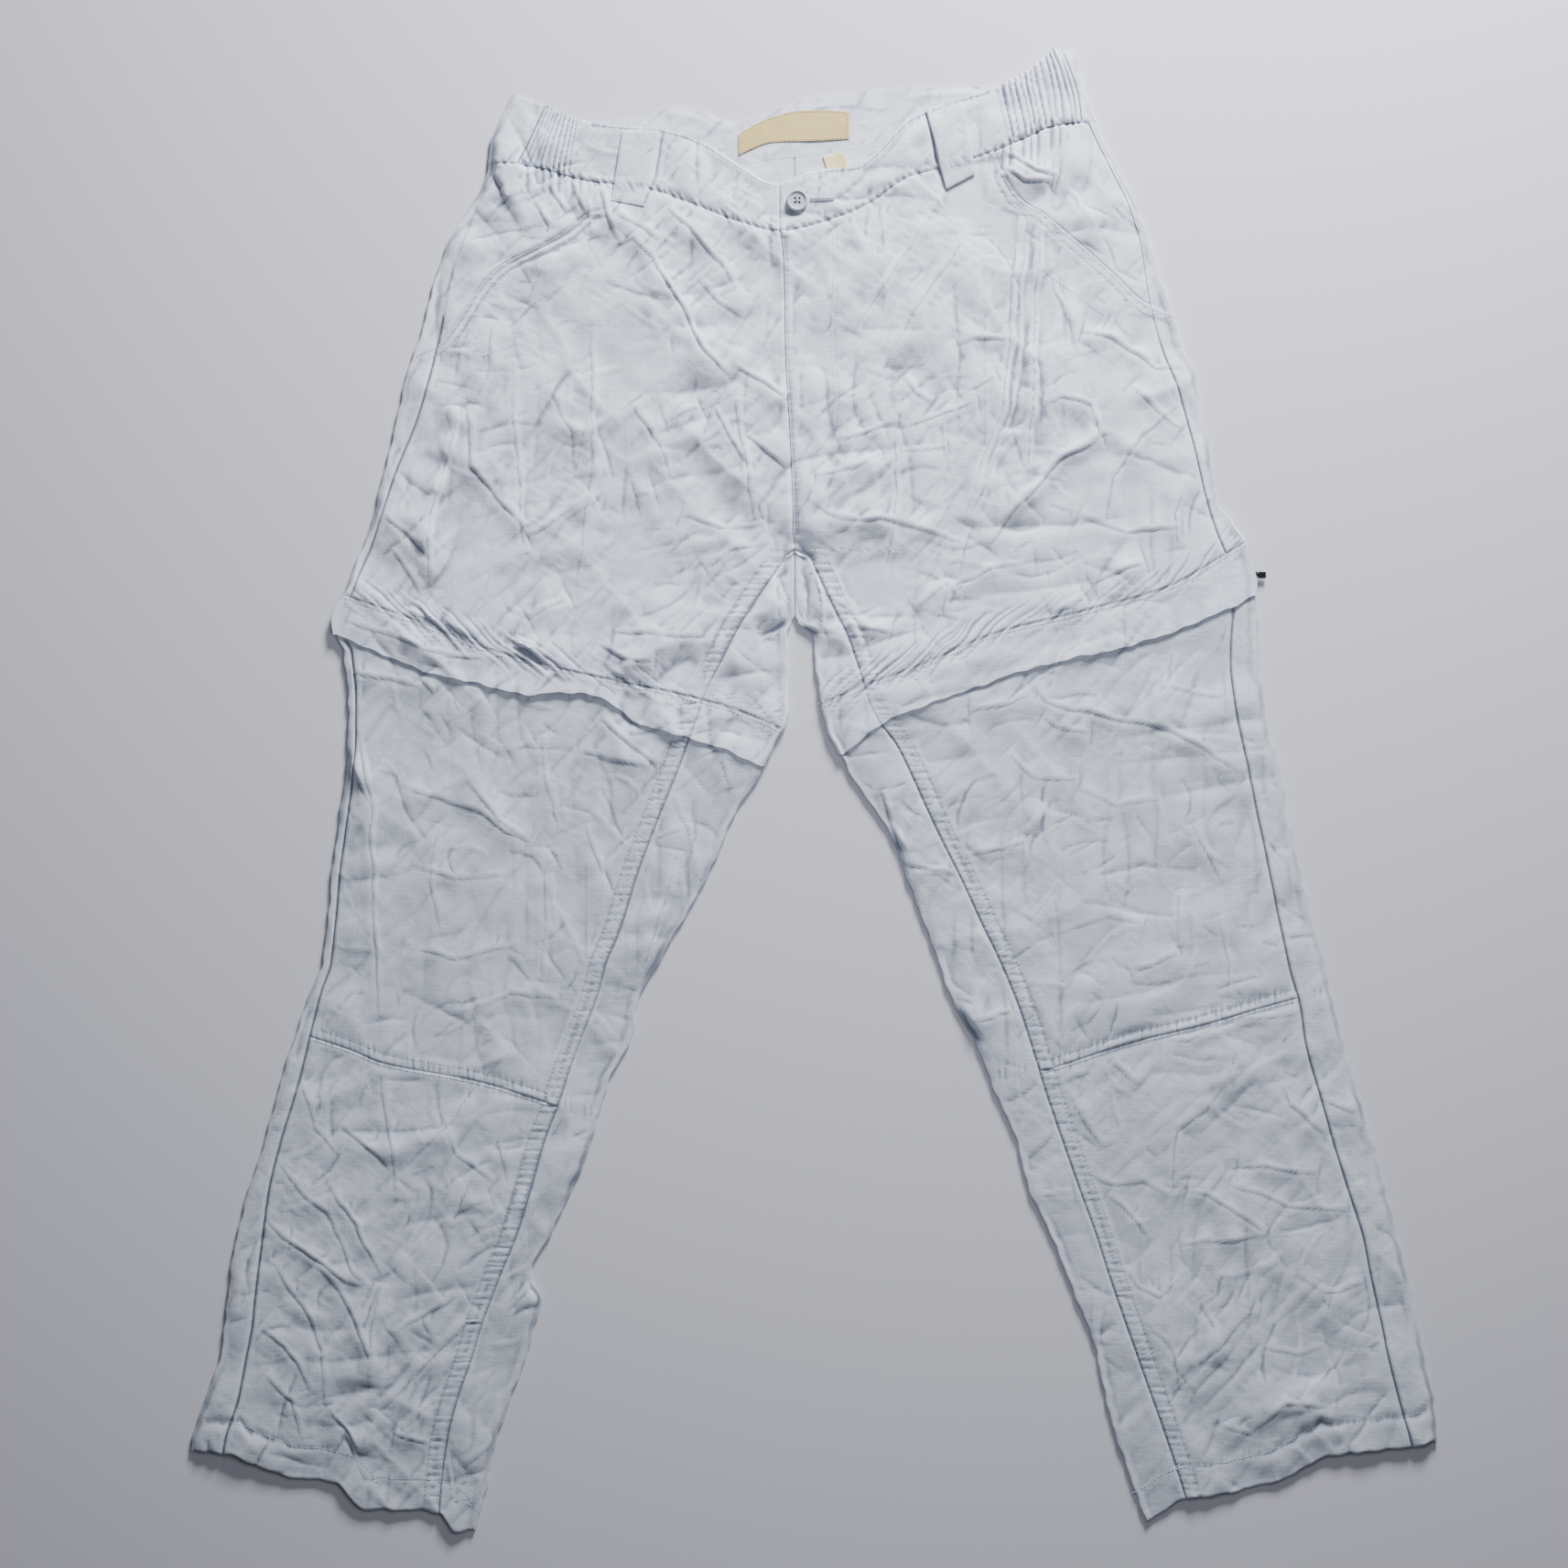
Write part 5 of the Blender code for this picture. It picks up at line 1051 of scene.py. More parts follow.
def measure(name, grid):
    """Cut of a piece: its longest row, longest column and area. Large pieces are read on every fourth point, so that
    crumple doesn't count."""
    coarse = grid[::COARSER, ::COARSER] if len(grid) > LARGE else grid
    wide = np.linalg.norm(np.diff(coarse, axis=1), axis=-1).sum(axis=1).max()
    long = np.linalg.norm(np.diff(coarse, axis=0), axis=-1).sum(axis=0).max()
    a, b = coarse[1:, 1:] - coarse[:-1, :-1], coarse[1:, :-1] - coarse[:-1, 1:]
    area = np.linalg.norm(np.cross(a, b), axis=-1).sum() / 2
    CUTS[name] = float(wide), float(long), float(area)


# %% [markdown]
# ## Panels
# A panel lies between two lines that run down and two that run across. Its height is the smooth top, plus the relief,
# plus what it has of its own, such as the lap of the fly or the lift of a flap's free edge.

# %% Panel
ROLL_DEEP, ROLL_WIDE = 0.55 * MM, 0.8 * MM


def rolled_edge(inside):
    """The outer face rolls down at a sewn edge: -deep x exp(-(distance from the edge / wide)²)."""
    return -ROLL_DEEP * np.exp(-((inside / ROLL_WIDE) ** 2))


def panel(name, start, stop, above, below, size, top, material, own=None, pitch=PITCH):
    """Panel of the top: place = start + (stop - start) x share, height = top + relief + own + rolled edge."""
    own = own or level()
    across_shares, down_shares = spread(size[0], pitch), spread(size[1], pitch)[:, None]
    x, y = settle(lambda y: start(y) + (stop(y) - start(y)) * across_shares, above, below, down_shares)
    inside = np.minimum(np.abs(x - start(y)), np.abs(stop(y) - x))
    inside = np.minimum(inside, np.minimum(np.abs(above(x) - y), np.abs(y - below(x))))
    outer = stack(x, y, top(x, y) + sample(RELIEF, x, y) + own(x, y) + rolled_edge(inside))
    x, y = x[::EVERY, ::EVERY], y[::EVERY, ::EVERY]
    lining = stack(x, y, top(x, y) + sample(LINING, x, y) + own(x, y) - WALL)
    measure(name, outer)
    return shell(name, outer, lining, material)


# %% [markdown]
# ## Pieces that wrap round
# The back of a leg runs under it and turns up round both edges as half circles. Its section is a row of columns, each
# in a stretch: outer strip on top, outer turn, underside, inner turn, inner strip. A flap goes all the way round.

# %% Section of a flattened leg
OUTER_TOP, OUTER_TURN, UNDER, INNER_TURN, INNER_TOP, MIDDLE, RETURN, LIP = range(8)
HALF_ROUND = np.linspace(0, 1, 7)


def section(*stretches):
    """Kinds and shares of the columns. A stretch leaves out the share that the one beside it already has."""
    kinds = np.concatenate([[kind] * len(shares) for kind, shares in stretches])
    return kinds, np.concatenate([shares for _, shares in stretches])


def wrapped(outer_strip, under, inner_strip):
    """Section that starts at the side seam, goes round under the leg and stops at the inseam."""
    return section(
        (OUTER_TOP, spread(outer_strip)[:-1]),
        (OUTER_TURN, HALF_ROUND),
        (UNDER, even(under, UNDER_PITCH)[1:-1]),
        (INNER_TURN, HALF_ROUND),
        (INNER_TOP, spread(inner_strip)[1:]),
    )


def ring(under, inner_strip, middle, outer_strip):
    """Section that runs from the outer edge under the leg and back on top, open at the outer edge."""
    return section(
        (LIP, np.array([0, 0.5, 0.75, 1])),
        (UNDER, even(under, UNDER_PITCH)[1:-1]),
        (INNER_TURN, HALF_ROUND),
        (INNER_TOP, even(inner_strip, PITCH)[1:]),
        (MIDDLE, even(middle, PITCH)[1:]),
        (RETURN, even(outer_strip, PITCH)[1:]),
        (LIP, np.array([0.75, 0.5, 0])),
    )


# %% Piece that wraps round
FLAT_END, FLAT_SPARE = 1.2 * MM, 0.6 * MM


def tube(name, flip, columns, lines, stretches, low, top, edge, material, curl=None, own=None, every=EVERY):
    """Piece round a flattened leg, worked out with the outer edge at -X; flip -1 mirrors it. A turn of reach r at
    share s is edge + r - r sin(s pi) across and r + r cos(s pi) up. curl says how far the inner turn is rolled up, row
    by row."""
    outer, inner, start, stop = lines
    kind, share = columns
    own = own or level()

    def edges(y):
        at_outer, at_inner = outer(y), inner(y)
        return (flip * at_outer, flip * at_inner, (edge(at_outer, y) - low(at_outer, y)) / 2,
                (edge(at_inner, y) - low(at_inner, y)) / 2)

    def opened(reach, part):
        return (1 - part) * ((np.pi - 1) * reach + FLAT_END + FLAT_SPARE)

    def place_for(part):
        def place(y):
            a, b, reach_outer, reach_inner = edges(y)
            first, last = a + reach_outer, b - reach_inner - opened(reach_inner, part)
            begin, end = flip * start(y), flip * stop(y)
            strip = (1 - part) * np.pi * reach_inner
            choices = [
                begin + (first - begin) * share, first + 0 * share, first + (last - first) * share,
                last + strip * share, last + strip + np.where(part > 0.99, end - last, FLAT_END) * share,
                end + (begin - end) * share, begin + (first - begin) * share, first + 0 * share,
            ]
            return flip * np.choose(kind, np.broadcast_arrays(*choices))
        return place

    found, rolls = [], []
    for above, below, down in stretches:
        part = np.ones((len(down), 1)) if curl is None else np.maximum(curl[len(rolls)][:, None], 0.02)
        rolls.append(part)
        found.append(settle(place_for(part), above, below, down[:, None]))
    x = np.concatenate([np.broadcast_to(x, (len(x), len(kind))) for x, _ in found])
    y = np.concatenate([np.broadcast_to(y, (len(y), len(kind))) for _, y in found])
    rolled = np.concatenate(rolls)

    def face(x, y, rolled, kind, share, wall, hills, dips):
        a, b, reach_outer, reach_inner = edges(y)
        base = low(x, y) + wall + sample(dips, x, y)
        height = top(x, y) - wall + sample(hills, x, y) + own(x, y)
        x = flip * x
        angle = share * np.pi
        r = reach_outer - wall
        turned = a + reach_outer - r * np.sin(angle), low(flip * a, y) + reach_outer + r * np.cos(angle)
        pivot, bend = b - reach_inner - opened(reach_inner, rolled), reach_inner / rolled
        foot, r = low(flip * b, y), bend - wall
        rolling = pivot + r * np.sin(rolled * angle), foot + bend - r * np.cos(rolled * angle)
        swept = rolled * np.pi
        tip = (pivot + r * np.sin(swept) + FLAT_END * share * np.cos(swept),
               foot + bend - r * np.cos(swept) + FLAT_END * share * np.sin(swept))
        full = rolled > 0.99
        ends = a + (x - a) * share
        places = [x, turned[0], x, rolling[0], np.where(full, x, tip[0]), x, x, ends]
        heights = [height, turned[1], base, rolling[1], np.where(full, height, tip[1]), height, height, base]
        across_face = np.choose(kind, np.broadcast_arrays(*places))
        up_face = np.choose(kind, np.broadcast_arrays(*heights))
        if kind[-1] == LIP:  # the upper leaf's end lies on top
            up_face[:, -3:] = height[:, -3:]
        return stack(flip * across_face, y, up_face)

    fine = face(x, y, rolled, kind, share, 0, RELIEF, UNDERSIDE)
    strip = (kind == OUTER_TOP) | ((kind == INNER_TOP) & (np.max(kind) == INNER_TOP))
    inside = np.minimum(np.abs(x - start(y)), np.abs(x - stop(y)))
    ends = np.minimum(np.abs(stretches[0][0](x) - y), np.abs(y - stretches[-1][1](x)))
    fine[..., 2] += strip * np.where(rolled > 0.99, rolled_edge(np.minimum(inside, ends)), 0)
    each = (slice(None, None, every),) * 2
    hills, dips = (RELIEF, UNDERSIDE) if every == 1 else (LINING, UNDER_LINING)
    lining = face(x[each], y[each], rolled[::every], kind[::every], share[::every], WALL, hills, dips)
    measure(name, fine)
    return shell(name, fine, lining, material)


# %% [markdown]
# ## Shorts
# The left front laps over the right at the fly, and both fronts lie over the pocket facings. So the piece that lies
# below reaches on under the other, a little lower, and the upper one is raised along its edge.

# %% Shorts
def shorts(side, leg, flip):
    """Front, pocket facing and back of one half of the shorts."""
    crotch, seam, waist = leg["crotch_row"], shifted(leg["flap_seam"], HALF_GAP), shifted(WAIST_FRONT, -HALF_GAP)
    away = -flip

    def outer_edge(y):
        return flip * np.maximum(flip * beside(leg["side"], flip)(y), flip * leg["pocket"](y))

    def centre_edge(y):
        """The left front ends at the fly's edge. The right one reaches 10 mm on under it."""
        lap = FLY(y) if side == "L" else FLY(y) + 10 * MM * smooth((y - CROTCH_Y - 6 * MM) / (20 * MM))
        return np.where(y > CROTCH_Y, lap, beside(leg["inseam"], away)(y))

    def own(x, y):
        above = smooth((y - CROTCH_Y - 2 * MM) / (14 * MM))
        pocket = flip * (x - leg["pocket"](y))
        raised = 0.5 * MM * np.exp(-np.maximum(pocket, 0) / (5 * MM)) * (y > along(375))
        if side == "L":
            return raised + 0.7 * MM * above * np.exp(-np.maximum(x - FLY(y), 0) / (16 * MM))
        return raised - 1.5 * MM * above * smooth((x - FLY(y) + 2.2 * MM) / (2.2 * MM))

    panel(f"front_shorts_{side}", outer_edge, centre_edge, waist, seam, (0.30, 0.385), body_top, NYLON_UPPER, own)

    def under_front(x, y):
        pocket = flip * (leg["pocket"](y) - x)
        return -0.35 * MM - 1.3 * MM * smooth((2.0 * MM - pocket) / (2.2 * MM))

    def facing_stop(y):
        return leg["pocket"](y) + flip * 9 * MM

    foot = row_line(*{"R": [(350, 386), (620, 380)], "L": [(1050, 338), (1400, 344)]}[side])
    panel(f"pocket_facing_{side}", beside(leg["side"], flip), facing_stop, waist, foot, (0.11, 0.14), body_top,
          NYLON_UPPER, under_front)

    upper, lower_rows = even(0.27, PITCH * 1.3), even(0.13, PITCH * 1.3)[1:]
    curl = [np.zeros(len(upper)), np.clip(lower_rows * 0.13 / (5 * MM), 0.04, 1)]
    lines = leg["outer"], leg["inner"], beside(leg["side"], away), beside(leg["inseam"], flip)
    tube(f"back_shorts_{side}", flip, wrapped(0.014, 0.30, 0.03), lines,
         [(shifted(WAIST_BACK, -HALF_GAP), crotch, upper), (crotch, seam, lower_rows)], level(), body_top, edge_top,
         NYLON_UPPER, curl=curl)


for side, leg, flip in SIDES:
    shorts(side, leg, flip)
print("shorts:", [name for name in CUTS if "shorts" in name])

# %% [markdown]
# ## Storm flaps and thigh zips
# The zips that join the legs lie under flaps. A flap's free edge isn't sewn down: it lifts in places and throws a
# shadow on the leg. The lift is a short table for each side.

# %% Flaps and zips
# place along the flap (pixels), lift of the free edge (mm)
LIFTS = {
    "R": [(360, 0.4), (400, 0.1), (470, 0.4), (540, 0.9), (590, 2.2), (640, 1.9), (700, 0.3), (760, 0.5), (830, 0.1),
          (870, 0)],
    "L": [(880, 0.1), (930, 0.5), (970, 0.4), (1040, 0.2), (1120, 0.5), (1200, 0.9), (1280, 0.6), (1340, 0.4),
          (1390, 0.1)],
}


def between(first, second, share):
    """A line a share of the way from one line to another."""
    return lambda x: first(x) + (second(x) - first(x)) * share


def flap_and_zip(side, leg, flip):
    """Storm flap all round a leg, and the zip's tape in it."""
    seam = leg["flap_seam"]
    free = wavering(leg["flap_edge"], 60 + flip, 0.7 * MM)
    places, lifts = np.array(LIFTS[side]).T
    lift = curve(across(places), lifts * MM)

    def lifted(x, y):
        inside = smooth((from_edge(x, y) - 2 * MM) / (14 * MM))
        return lift(x) * inside * (1 - smooth((y - free(x)) / (19 * MM))) ** 1.5

    lines = leg["outer"], leg["inner"], leg["side"], leg["inseam"]
    tube(f"zip_flap_{side}", flip, ring(0.33, 0.05, 0.27, 0.01), lines,
         [(shifted(seam, -HALF_GAP), free, spread(0.028))], level(), body_top, edge_top, NYLON_UPPER, own=lifted)

    def zip_end(y):
        return leg["outer"](y) + flip * 6.9 * MM

    lines = (zip_end, shifted(leg["inner"], -flip * LAYER), shifted(zip_end, flip * 6 * MM), leg["inseam"])
    tube(f"thigh_zip_{side}", flip, ring(0.33, 0.05, 0.27, 0.006), lines,
         [(between(seam, free, 0.05), between(seam, free, 0.62), even(0.016, 2 * MM))],
         level(TUCK_LIFT), lambda x, y: body_top(x, y) - LAYER, level(FLAP_EDGE_HEIGHT - LAYER), TAPE)


for side, leg, flip in SIDES:
    flap_and_zip(side, leg, flip)
print("flaps and zips:", [name for name in CUTS if "zip" in name])

# %% [markdown]
# ## Legs
# Each zip-off leg has an upper and a lower front, joined at the knee, and one long back. They start a little way up
# under the flap.

# %% Legs
def zip_off_leg(side, leg, flip):
    """Upper front, lower front and back of one leg."""
    away, free = -flip, leg["flap_edge"]

    def tucked(line, gap, inward):
        return lambda y: beside(line, gap)(y) + inward * leg_inset(line(y), y)

    start, stop = tucked(leg["side"], flip, flip), beside(leg["inseam"], away)
    top_line, knee = between(leg["flap_seam"], free, 0.66), leg["knee"]
    for part, above, below, size in (("upper", top_line, shifted(knee, 0.12 * MM), (0.24, 0.28)),
                                     ("lower", shifted(knee, -0.12 * MM), leg["hem"], (0.19, 0.33))):
        panel(f"front_leg_{part}_{side}", start, stop, above, below, size, leg_top, NYLON_LEG_SHADED)
    lines = (tucked(leg["outer"], 0, flip), tucked(leg["inner"], 0, away), tucked(leg["side"], away, flip),
             beside(leg["inseam"], flip))
    tube(f"back_leg_{side}", flip, wrapped(0.026, 0.30, 0.05), lines, [(top_line, leg["hem"], spread(0.61, 2 * MM))],
         leg_low, leg_top, leg_edge_top, NYLON_LEG_SHADED)


for side, leg, flip in SIDES:
    zip_off_leg(side, leg, flip)
print("legs:", [name for name in CUTS if "leg" in name])

# %% [markdown]
# ## Waistband
# Beside each side seam the band is gathered on elastic. Gathers are flat on top and narrow between, so their wave is
# a low power of a sine's size, and no two are alike. The back band wraps over both ends, and its inner face shows
# between the two top edges.

# %% Waistband
RIBS = {"R": 10, "L": 13}
RIB_TALL, RIB_BASE, RIB_END = 3.0 * MM, 1.5 * MM, 0.03
BAND_LIFT = 0.35 * MM


def gathers(side, seed):
    """Height of the elastic's gathers: tall x |sin(count x pi x share)| to the 0.5 - base, with uneven widths."""
    dice = np.random.default_rng(seed)
    starts, deeps = dice.uniform(0, TURN, 3), dice.uniform(0.6, 1.1, 40)
    inner_line, end_line = ELASTIC_START[side], ELASTIC_END[side]

    def read(x, y):
        a, b = inner_line(y), end_line(y)
        share = (x - a) / (b - a)
        sway = 0.018 * np.sin(9 * share + starts[0] + 30 * y) + 0.007 * np.sin(23 * share + starts[1] - 60 * y)
        at = RIBS[side] * (share + sway * smooth(share * 4) * smooth((1 - share) * 4))
        tall = deeps[np.clip(at, 0, 39).astype(int)]
        wave = np.abs(np.sin(np.pi * at)) ** 0.5 * tall
        ends = smooth((share + RIB_END) * 12) * smooth((1 + RIB_END - share) * 12)
        seam = 0.9 * MM * np.exp(-(((x - b) / (1.3 * MM)) ** 2))
        return (RIB_TALL * wave - RIB_BASE) * ends * ((share > -RIB_END) & (share < 1 + RIB_END)) - seam

    return read


def band_front(side, flip):
    """Front of the band, with painted shade darkening it between its gathers. The left one laps over the right under
    the button.
    """
    ribs = gathers(side, 5 + flip)
    stop = float(across({"R": 866, "L": 852.5}[side]))

    def own(x, y):
        if side == "L":
            return ribs(x, y) + BAND_LIFT + 0.5 * MM * np.exp(-(x - stop) / (15 * MM))
        return ribs(x, y) + BAND_LIFT - 1.8 * MM * smooth((x - BAND_SPLIT) / (2 * MM))

    top_edge = wavering(BAND_TOP_FRONT, 90 + flip, 0.4 * MM)
    band = panel(f"waistband_front_{side}", beside(ELASTIC_END[side], flip), lambda y: stop + 0 * y, top_edge,
                 shifted(WAIST_FRONT, 0.1 * MM), (0.21, 0.041), body_top, NYLON_UPPER, own, pitch=0.7 * MM).data
    x, y, _ = np.array([v.co for v in band.vertices]).T
    # Painted shade: the cloth is coloured darker in the grooves between the gathers.
    gather_shade = np.clip(-ribs(x, y) / (0.7 * MM), 0, 1)
    band.attributes["fold"].data.foreach_set("value", sample(PAINTED_CREASE_SHADE, x, y) * (1 - 0.9 * gather_shade))


for side, _, flip in SIDES:
    band_front(side, flip)
band_end = even(0.02, 1.2 * MM)
around = section((OUTER_TOP, band_end[:-1]), (OUTER_TURN, HALF_ROUND), (UNDER, even(0.44, 1.5 * MM)[1:-1]),
                 (INNER_TURN, HALF_ROUND), (INNER_TOP, band_end[1:]))
lines = RIGHT["outer"], LEFT["outer"], beside(ELASTIC_END["R"], -1), beside(ELASTIC_END["L"], 1)
tube("waistband_back", 1, around, lines, [(BAND_TOP_BACK, shifted(WAIST_BACK, 0.1 * MM), even(0.042, 1.4 * MM))],
     level(), body_top, edge_top, NYLON_UPPER, every=1)
print("waistband:", [name for name in CUTS if "waist" in name])

# %% [markdown]
# ## Loops and labels
# Belt loops are folded strips, stitched at both ends and arched between. The main label and the size tag are woven
# strips on the back band's inner face, left bare.

# %% Loops and labels
def strip(name, corners, counts, base, thick, material, arch=0.0, curl=0.0):
    """Strip over a quadrilateral, clockwise from its upper left corner: base height + arch x sin(pi x share down)."""
    down, aside = np.linspace(0, 1, counts[0])[:, None], np.linspace(0, 1, counts[1])[None, :]
    x, y = ((c[0] * (1 - aside) + c[1] * aside) * (1 - down) + (c[3] * (1 - aside) + c[2] * aside) * down
            for c in at_pixels(corners).T)
    rolled = np.minimum(np.minimum(aside, 1 - aside) * 14, 1) * np.minimum(np.minimum(down, 1 - down) * 24, 1)
    low = base(x, y) + arch * np.sin(np.pi * down) + curl * (2 * aside - 1) ** 2
    outer = stack(x, y, low + thick * (0.55 + 0.45 * np.sqrt(rolled)))
    measure(name, outer)
    return shell(name, outer, stack(x, y, low), material)


def on_front(x, y):
    return body_top(x, y) + sample(RELIEF, x, y) * 0.7 + 0.9 * MM


def on_back(x, y):
    return WALL + sample(UNDERSIDE, x, y) + 0.35 * MM


for side, corners in (("R", [(680, 144), (723, 139), (704, 226), (668, 220)]),
                      ("L", [(1011, 121), (1051, 110), (1066, 189), (1034, 206)])):
    strip("belt_loop_" + side, corners, (46, 28), on_front, 1.1 * MM, NYLON_UPPER, arch=0.9 * MM)
strip("size_tag", [(899, 169), (922, 165), (927, 184), (904, 186)], (16, 19), on_back, 0.5 * MM, WHITE_TAG,
      curl=0.5 * MM)

label_top = row_line((806, 146), (825, 135), (844, 127), (874, 119.5), (900, 119), (927, 121))
label_foot = row_line((806, 168), (843, 154), (860, 153), (895, 152), (929, 150))
label_x = across(807 + 121 * np.linspace(0, 1, 100))
x, y = settle(lambda y: label_x, label_top, label_foot, np.linspace(0, 1, 25)[:, None])
low = on_back(x, y) + 0.25 * MM * np.sin((x - y) / (9 * MM))
label_outer = stack(x, y, low + 0.55 * MM)
measure("main_label", label_outer)
shell("main_label", label_outer, stack(x, y, low), CREAM_LABEL)

fly_corners = [(856, 262), (884, 262), (884, 520), (872, 520)]
strip("fly_zip", fly_corners, (90, 12), level(1.75 * MM), 0.6 * MM, TAPE)
print("loops and labels done")

# %% [markdown]
# ## Thread
# Each stitch is one small spindle of thread that dips into the cloth at both ends. A row repeats it about every 3 mm.
# It has sixteen triangles, because there are thousands.

# %% Rows of thread
STITCH, GAP, THREAD_RADIUS = 2.4 * MM, 0.7 * MM, 0.22 * MM
SPINDLE_POINTS = 10


def spindles(middle, way, long, radius):
    """Points and faces of many spindles: two rings of four between two tips, at middle + way x share x length."""
    side = np.stack([-way[:, 1], way[:, 0], 0 * way[:, 0]], axis=1)
    up = np.array([0, 0, 1.0])
    tips = [middle - way * long / 2 - up * radius, middle + way * long / 2 - up * radius]
    rings = [
        middle + way * long * share + (side * math.cos(turn) + up * math.sin(turn)) * radius
        for share in (-0.3, 0.3)
        for turn in (0, math.pi / 2, math.pi, 1.5 * math.pi)
    ]
    points = np.stack([tips[0], *rings, tips[1]], axis=1)
    pattern = [(0, 1 + (n + 1) % 4, 1 + n) for n in range(4)] + [(9, 5 + n, 5 + (n + 1) % 4) for n in range(4)]
    pattern += [(1 + n, 1 + (n + 1) % 4, 5 + n) for n in range(4)]
    pattern += [(1 + (n + 1) % 4, 5 + (n + 1) % 4, 5 + n) for n in range(4)]
    faces = np.array(pattern)[None] + SPINDLE_POINTS * np.arange(len(middle))[:, None, None]
    return points.reshape(-1, 3), faces.reshape(-1, 3)


def thread_rows(name, paths, material=THREAD):
    """One mesh of stitches along several paths, each a list of points on the cloth."""
    middles, ways = [], []
    for path in paths:
        run = np.concatenate([[0], np.cumsum(np.linalg.norm(np.diff(path[:, :2], axis=0), axis=1))])
        at = np.arange(STITCH, run[-1] - STITCH, STITCH + GAP)
        ahead, behind = (
            np.column_stack([np.interp(at + step, run, path[:, n]) for n in range(3)])
            for step in (STITCH / 2, -STITCH / 2)
        )
        way = ahead - behind
        middles.append((ahead + behind) / 2)
        ways.append(way / np.linalg.norm(way, axis=1)[:, None])
    points, faces = spindles(np.concatenate(middles), np.concatenate(ways), STITCH, THREAD_RADIUS)
    placed(name, points, faces.tolist(), material)
    return len(points) // SPINDLE_POINTS


def on_cloth(path, top, extra=0.0):
    """Puts flat points on the dressed top: top + relief + about half a thread's radius."""
    x, y = path[:, 0], path[:, 1]
    return np.column_stack([x, y, top(x, y) + sample(RELIEF, x, y) + extra + 0.12 * MM])


RAISED = {id(WAIST_FRONT): BAND_LIFT, id(BAND_TOP_FRONT): BAND_LIFT, id(FLY): 0.6 * MM}
rows = {"body": [], "leg": []}
for line, down, start, stop, off, part in ROWS:
    path = path_of(line, down, start, stop, off * MM)
    top = body_top if part == "body" else leg_top
    rows[part].append(on_cloth(path, top, RAISED.get(id(line), 0.0)))


def through(*pixels):
    """A fine path through a few places."""
    px, py = np.array(pixels, float).T
    run = np.concatenate([[0], np.cumsum(np.hypot(np.diff(px), np.diff(py)))])
    fine = np.linspace(0, run[-1], int(run[-1] * 1.5))
    return np.column_stack([across(np.interp(fine, run, px)), along(np.interp(fine, run, py))])


J_STITCH = [  # of the fly
    (914, 249), (916, 290), (914, 330), (912, 380), (917, 430), (915, 465), (905, 490), (890, 500), (872, 506),
]
for shift in (0, 5):
    rows["body"].append(on_cloth(through(*[(px - shift, py - shift * 0.4) for px, py in J_STITCH]), body_top))
for bag in ([(643, 300), (597, 324), (574, 339), (561, 378), (526, 391)], [(1138, 294), (1166, 315), (1208, 346)]):
    rows["body"].append(on_cloth(through(*bag), body_top))
for foot in ([(669, 213), (705, 219)], [(1033, 199), (1065, 183)]):  # each loop's folded lower end is sewn across
    path = through(*foot)
    rows["body"].append(np.column_stack([path, on_front(path[:, 0], path[:, 1]) + 1.25 * MM]))
count = thread_rows("thread_of_shorts", rows["body"]) + thread_rows("thread_of_legs", rows["leg"])
edge = np.concatenate([label_outer[1, 2:-2], label_outer[2:-2, -3], label_outer[-2, -3:1:-1], label_outer[-3:1:-1, 2]])
count += thread_rows("thread_of_label", [edge + [0, 0, 0.1 * MM]], LABEL_THREAD)
print(count, "stitches")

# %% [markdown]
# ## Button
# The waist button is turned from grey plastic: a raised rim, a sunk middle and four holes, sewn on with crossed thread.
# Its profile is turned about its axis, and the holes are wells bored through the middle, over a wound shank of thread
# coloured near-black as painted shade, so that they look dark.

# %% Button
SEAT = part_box("button")
centre = (np.array(SEAT[0]) + np.array(SEAT[1])) / 2
foot, crown = SEAT[0][2], SEAT[1][2]
radius = (SEAT[1][0] - SEAT[0][0]) / 2


def turned(name, profile, turns, middle, material):
    """Profile of (radius, height) rows turned about Z: x = r cos(t), y = r sin(t)."""
    r, z = np.array(profile, float).T
    t = np.linspace(0, 2 * np.pi, turns, endpoint=False)
    points = stack(middle[0] + r[:, None] * np.cos(t), middle[1] + r[:, None] * np.sin(t), z[:, None])
    index = np.arange(len(r) * turns).reshape(len(r), turns)
    after = np.roll(index, -1, axis=1)
    quads = np.stack([index[:-1], after[:-1], after[1:], index[1:]], axis=-1).reshape(-1, 4)
    faces = quads.tolist() + [index[0].tolist(), index[-1, ::-1].tolist()]
    return placed(name, points.reshape(-1, 3), faces, material, SHARP_TURNED, True)


rim_middle, rim_round = radius - 1.3 * MM, 0.95 * MM
profile = [(0.2 * MM, foot), (radius - 0.8 * MM, foot), (radius - 0.15 * MM, foot + 0.6 * MM)]
profile += [(rim_middle + rim_round * 1.1 * math.cos(a), crown - rim_round + rim_round * math.sin(a))
            for a in np.linspace(0, np.pi, 9)]
profile += [(rim_middle - 1.9 * MM, crown - 1.15 * MM), (0.2 * MM, crown - 1.1 * MM)]
button = turned("button_body", profile, 72, centre, BUTTON_GREY)
HOLE_RADIUS, HOLE_OUT = 0.95 * MM, 2.3 * MM
drills = []
for n in range(4):
    angle = math.pi / 4 + n * math.pi / 2
    bpy.ops.mesh.primitive_cylinder_add(
        vertices=20, radius=HOLE_RADIUS, depth=8 * MM,
        location=(centre[0] + HOLE_OUT * math.cos(angle), centre[1] + HOLE_OUT * math.sin(angle), crown))
    drill = bpy.context.object
    cut = button.modifiers.new("hole", "BOOLEAN")
    cut.operation, cut.object = "DIFFERENCE", drill
    drills.append(drill)
bpy.context.view_layer.update()
bored = bpy.data.meshes.new_from_object(button.evaluated_get(bpy.context.evaluated_depsgraph_get()))
button.modifiers.clear()
button.data = bored
for drill in drills:
    bpy.data.objects.remove(drill)
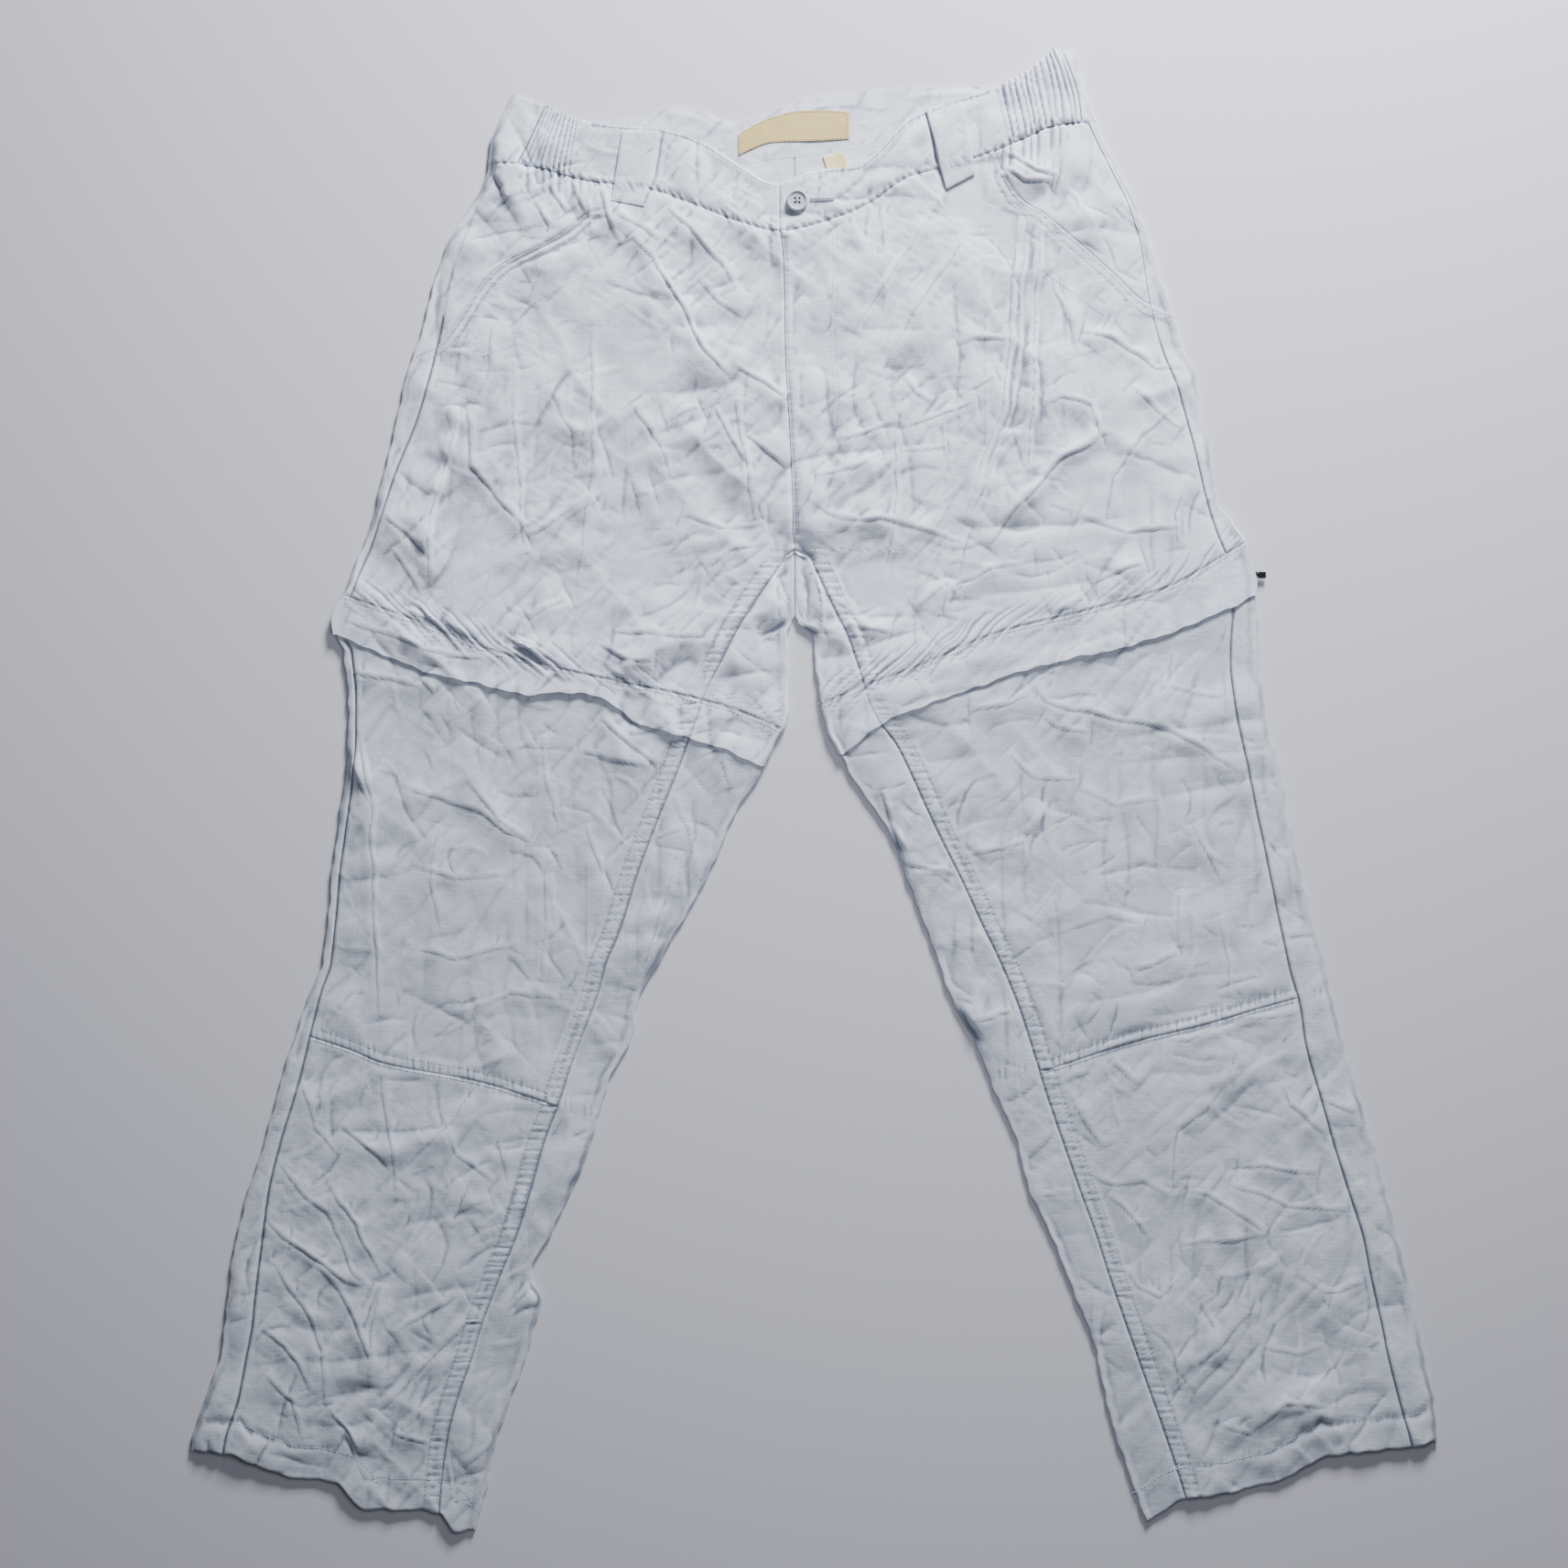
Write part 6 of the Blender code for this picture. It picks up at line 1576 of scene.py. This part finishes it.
bored.set_sharp_from_angle(angle=math.radians(SHARP_BORED))
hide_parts("button")


def tube_of_thread(name, paths, radius, material):
    """Round thread along paths: a ring of eight points at each place, set square to the way it runs."""
    points, faces = [], []
    for path in paths:
        path = np.array(path, float)
        way = np.gradient(path, axis=0)
        way /= np.linalg.norm(way, axis=1)[:, None]
        side = np.cross(way, [0.0, 0.0, 1.0])
        side /= np.linalg.norm(side, axis=1)[:, None] + 1e-12
        up = np.cross(side, way)
        t = np.linspace(0, 2 * np.pi, 8, endpoint=False)
        rings = path[:, None] + radius * (side[:, None] * np.cos(t)[:, None] + up[:, None] * np.sin(t)[:, None])
        index = np.arange(len(path) * 8).reshape(-1, 8) + sum(len(p) for p in points)
        after = np.roll(index, -1, axis=1)
        faces += np.stack([index[:-1], index[1:], after[1:], after[:-1]], axis=-1).reshape(-1, 4).tolist()
        faces += [index[0].tolist(), index[-1, ::-1].tolist()]
        points.append(rings.reshape(-1, 3))
    placed(name, np.concatenate(points), faces, material)


share = np.linspace(-1, 1, 15)
crossings = []
for turn in (math.pi / 4, -math.pi / 4):
    for off in (-0.16 * MM, 0.16 * MM):
        along_way = 1.75 * MM * share
        x = centre[0] + along_way * math.cos(turn) - off * math.sin(turn)
        y = centre[1] + along_way * math.sin(turn) + off * math.cos(turn)
        z = crown - 0.65 * MM - 1.1 * MM * np.abs(share) ** 5 + (0.22 * MM if turn > 0 else 0)
        crossings.append(np.column_stack([x, y, z]))
tube_of_thread("button_thread", crossings, 0.13 * MM, THREAD)
# Shank of wound thread under the button, coloured near-black as painted shade for its holes.
shank_shade_disc = [(0.1 * MM, foot), (4.2 * MM, foot), (4.1 * MM, foot + 1.0 * MM), (0.1 * MM, foot + 1.0 * MM)]
turned("button_shank_shade", shank_shade_disc, 32, centre, HOLE_SHADE_THREAD)

hole_x = np.linspace(across(885), across(911), 40)
hole_y = along(218.4) + 0 * hole_x
edge_rows = []
for off in (-0.75 * MM, 0.75 * MM):
    wave = 0.25 * MM * np.sin(np.arange(40) * 1.9)
    height = body_top(hole_x, hole_y) + sample(RELIEF, hole_x, hole_y) + 0.95 * MM
    edge_rows.append(np.column_stack([hole_x, hole_y + off + wave, height]))
tube_of_thread("buttonhole_edge", edge_rows, 0.42 * MM, THREAD)
print("button", round(2 * radius / MM, 1), "mm across")

# %% [markdown]
# ## Zip slider and pull
# Their solids have the right shape, so they stay and only get their finish. The pull's tip is the one dark spot at the
# left thigh.

# %% Metal parts
for node, material in (("zip_slider_R", ZINC), ("zip_slider_L", ZINC), ("zip_pull_L", DARK_ZINC)):
    solid = frame["nodes"][node]
    solid.data.materials.clear()
    solid.data.materials.append(material)
print("metal parts finished")

# %% [markdown]
# ## Cloth facts
# Every cloth piece was cut flat and now lies on what is below it. Its measured cut is printed: width, length and area.

# %% Measured cuts
for name, (wide, long, area) in CUTS.items():
    if name.startswith(("main", "size")):
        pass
    elif name.startswith(("thigh", "fly")):
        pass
    else:
        side = name[-2:] if name[-2:] in ("_R", "_L") else ""
    print(f"{name:20s} {wide:.3f} x {long:.3f} m, {area:.4f} m2")

# %% [markdown]
# ## Floor and light
# The garment lies on a plain pale surface in soft daylight that comes from beyond the waist, so the scene darkens
# towards the hems.

# %% Floor
floor_material, floor_shader = fresh("pale painted board", 0.75)
floor_shader.inputs["Base Color"].default_value = linear("CBCBD5")
FLOOR_SIZE, FLOOR_LEVEL = 12, -0.2 * MM
bpy.ops.mesh.primitive_plane_add(size=FLOOR_SIZE, location=(0, 0, FLOOR_LEVEL))
floor = bpy.context.object
floor.name = "floor"
floor.data.materials.append(floor_material)

# %% Light
def area_light(name, place, size, power, colour):
    """Square light that looks at the origin."""
    light = bpy.data.lights.new(name, "AREA")
    light.shape, light.size, light.energy, light.color = "SQUARE", size, power, linear(colour)[:3]
    lamp = bpy.data.objects.new(name, light)
    bpy.context.scene.collection.objects.link(lamp)
    lamp.location = place
    lamp.rotation_euler = (-Vector(place)).to_track_quat("-Z", "Y").to_euler()


area_light("window", (0.45, 1.65, 0.74), 0.45, 90, "FFFFFF")
area_light("ceiling", (0.05, 0.05, 0.95), 0.6, 4.0, "F4F6FF")
world = bpy.data.worlds.new("room")
bpy.context.scene.world = world
world.use_nodes = True
world.node_tree.nodes["Background"].inputs["Color"].default_value = linear("E4E7EF")
world.node_tree.nodes["Background"].inputs["Strength"].default_value = 0.05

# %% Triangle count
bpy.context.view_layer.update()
print("triangles:", sum(len(o.data.loop_triangles) for o in bpy.data.objects
                        if o.type == "MESH" and not o.data.calc_loop_triangles()))
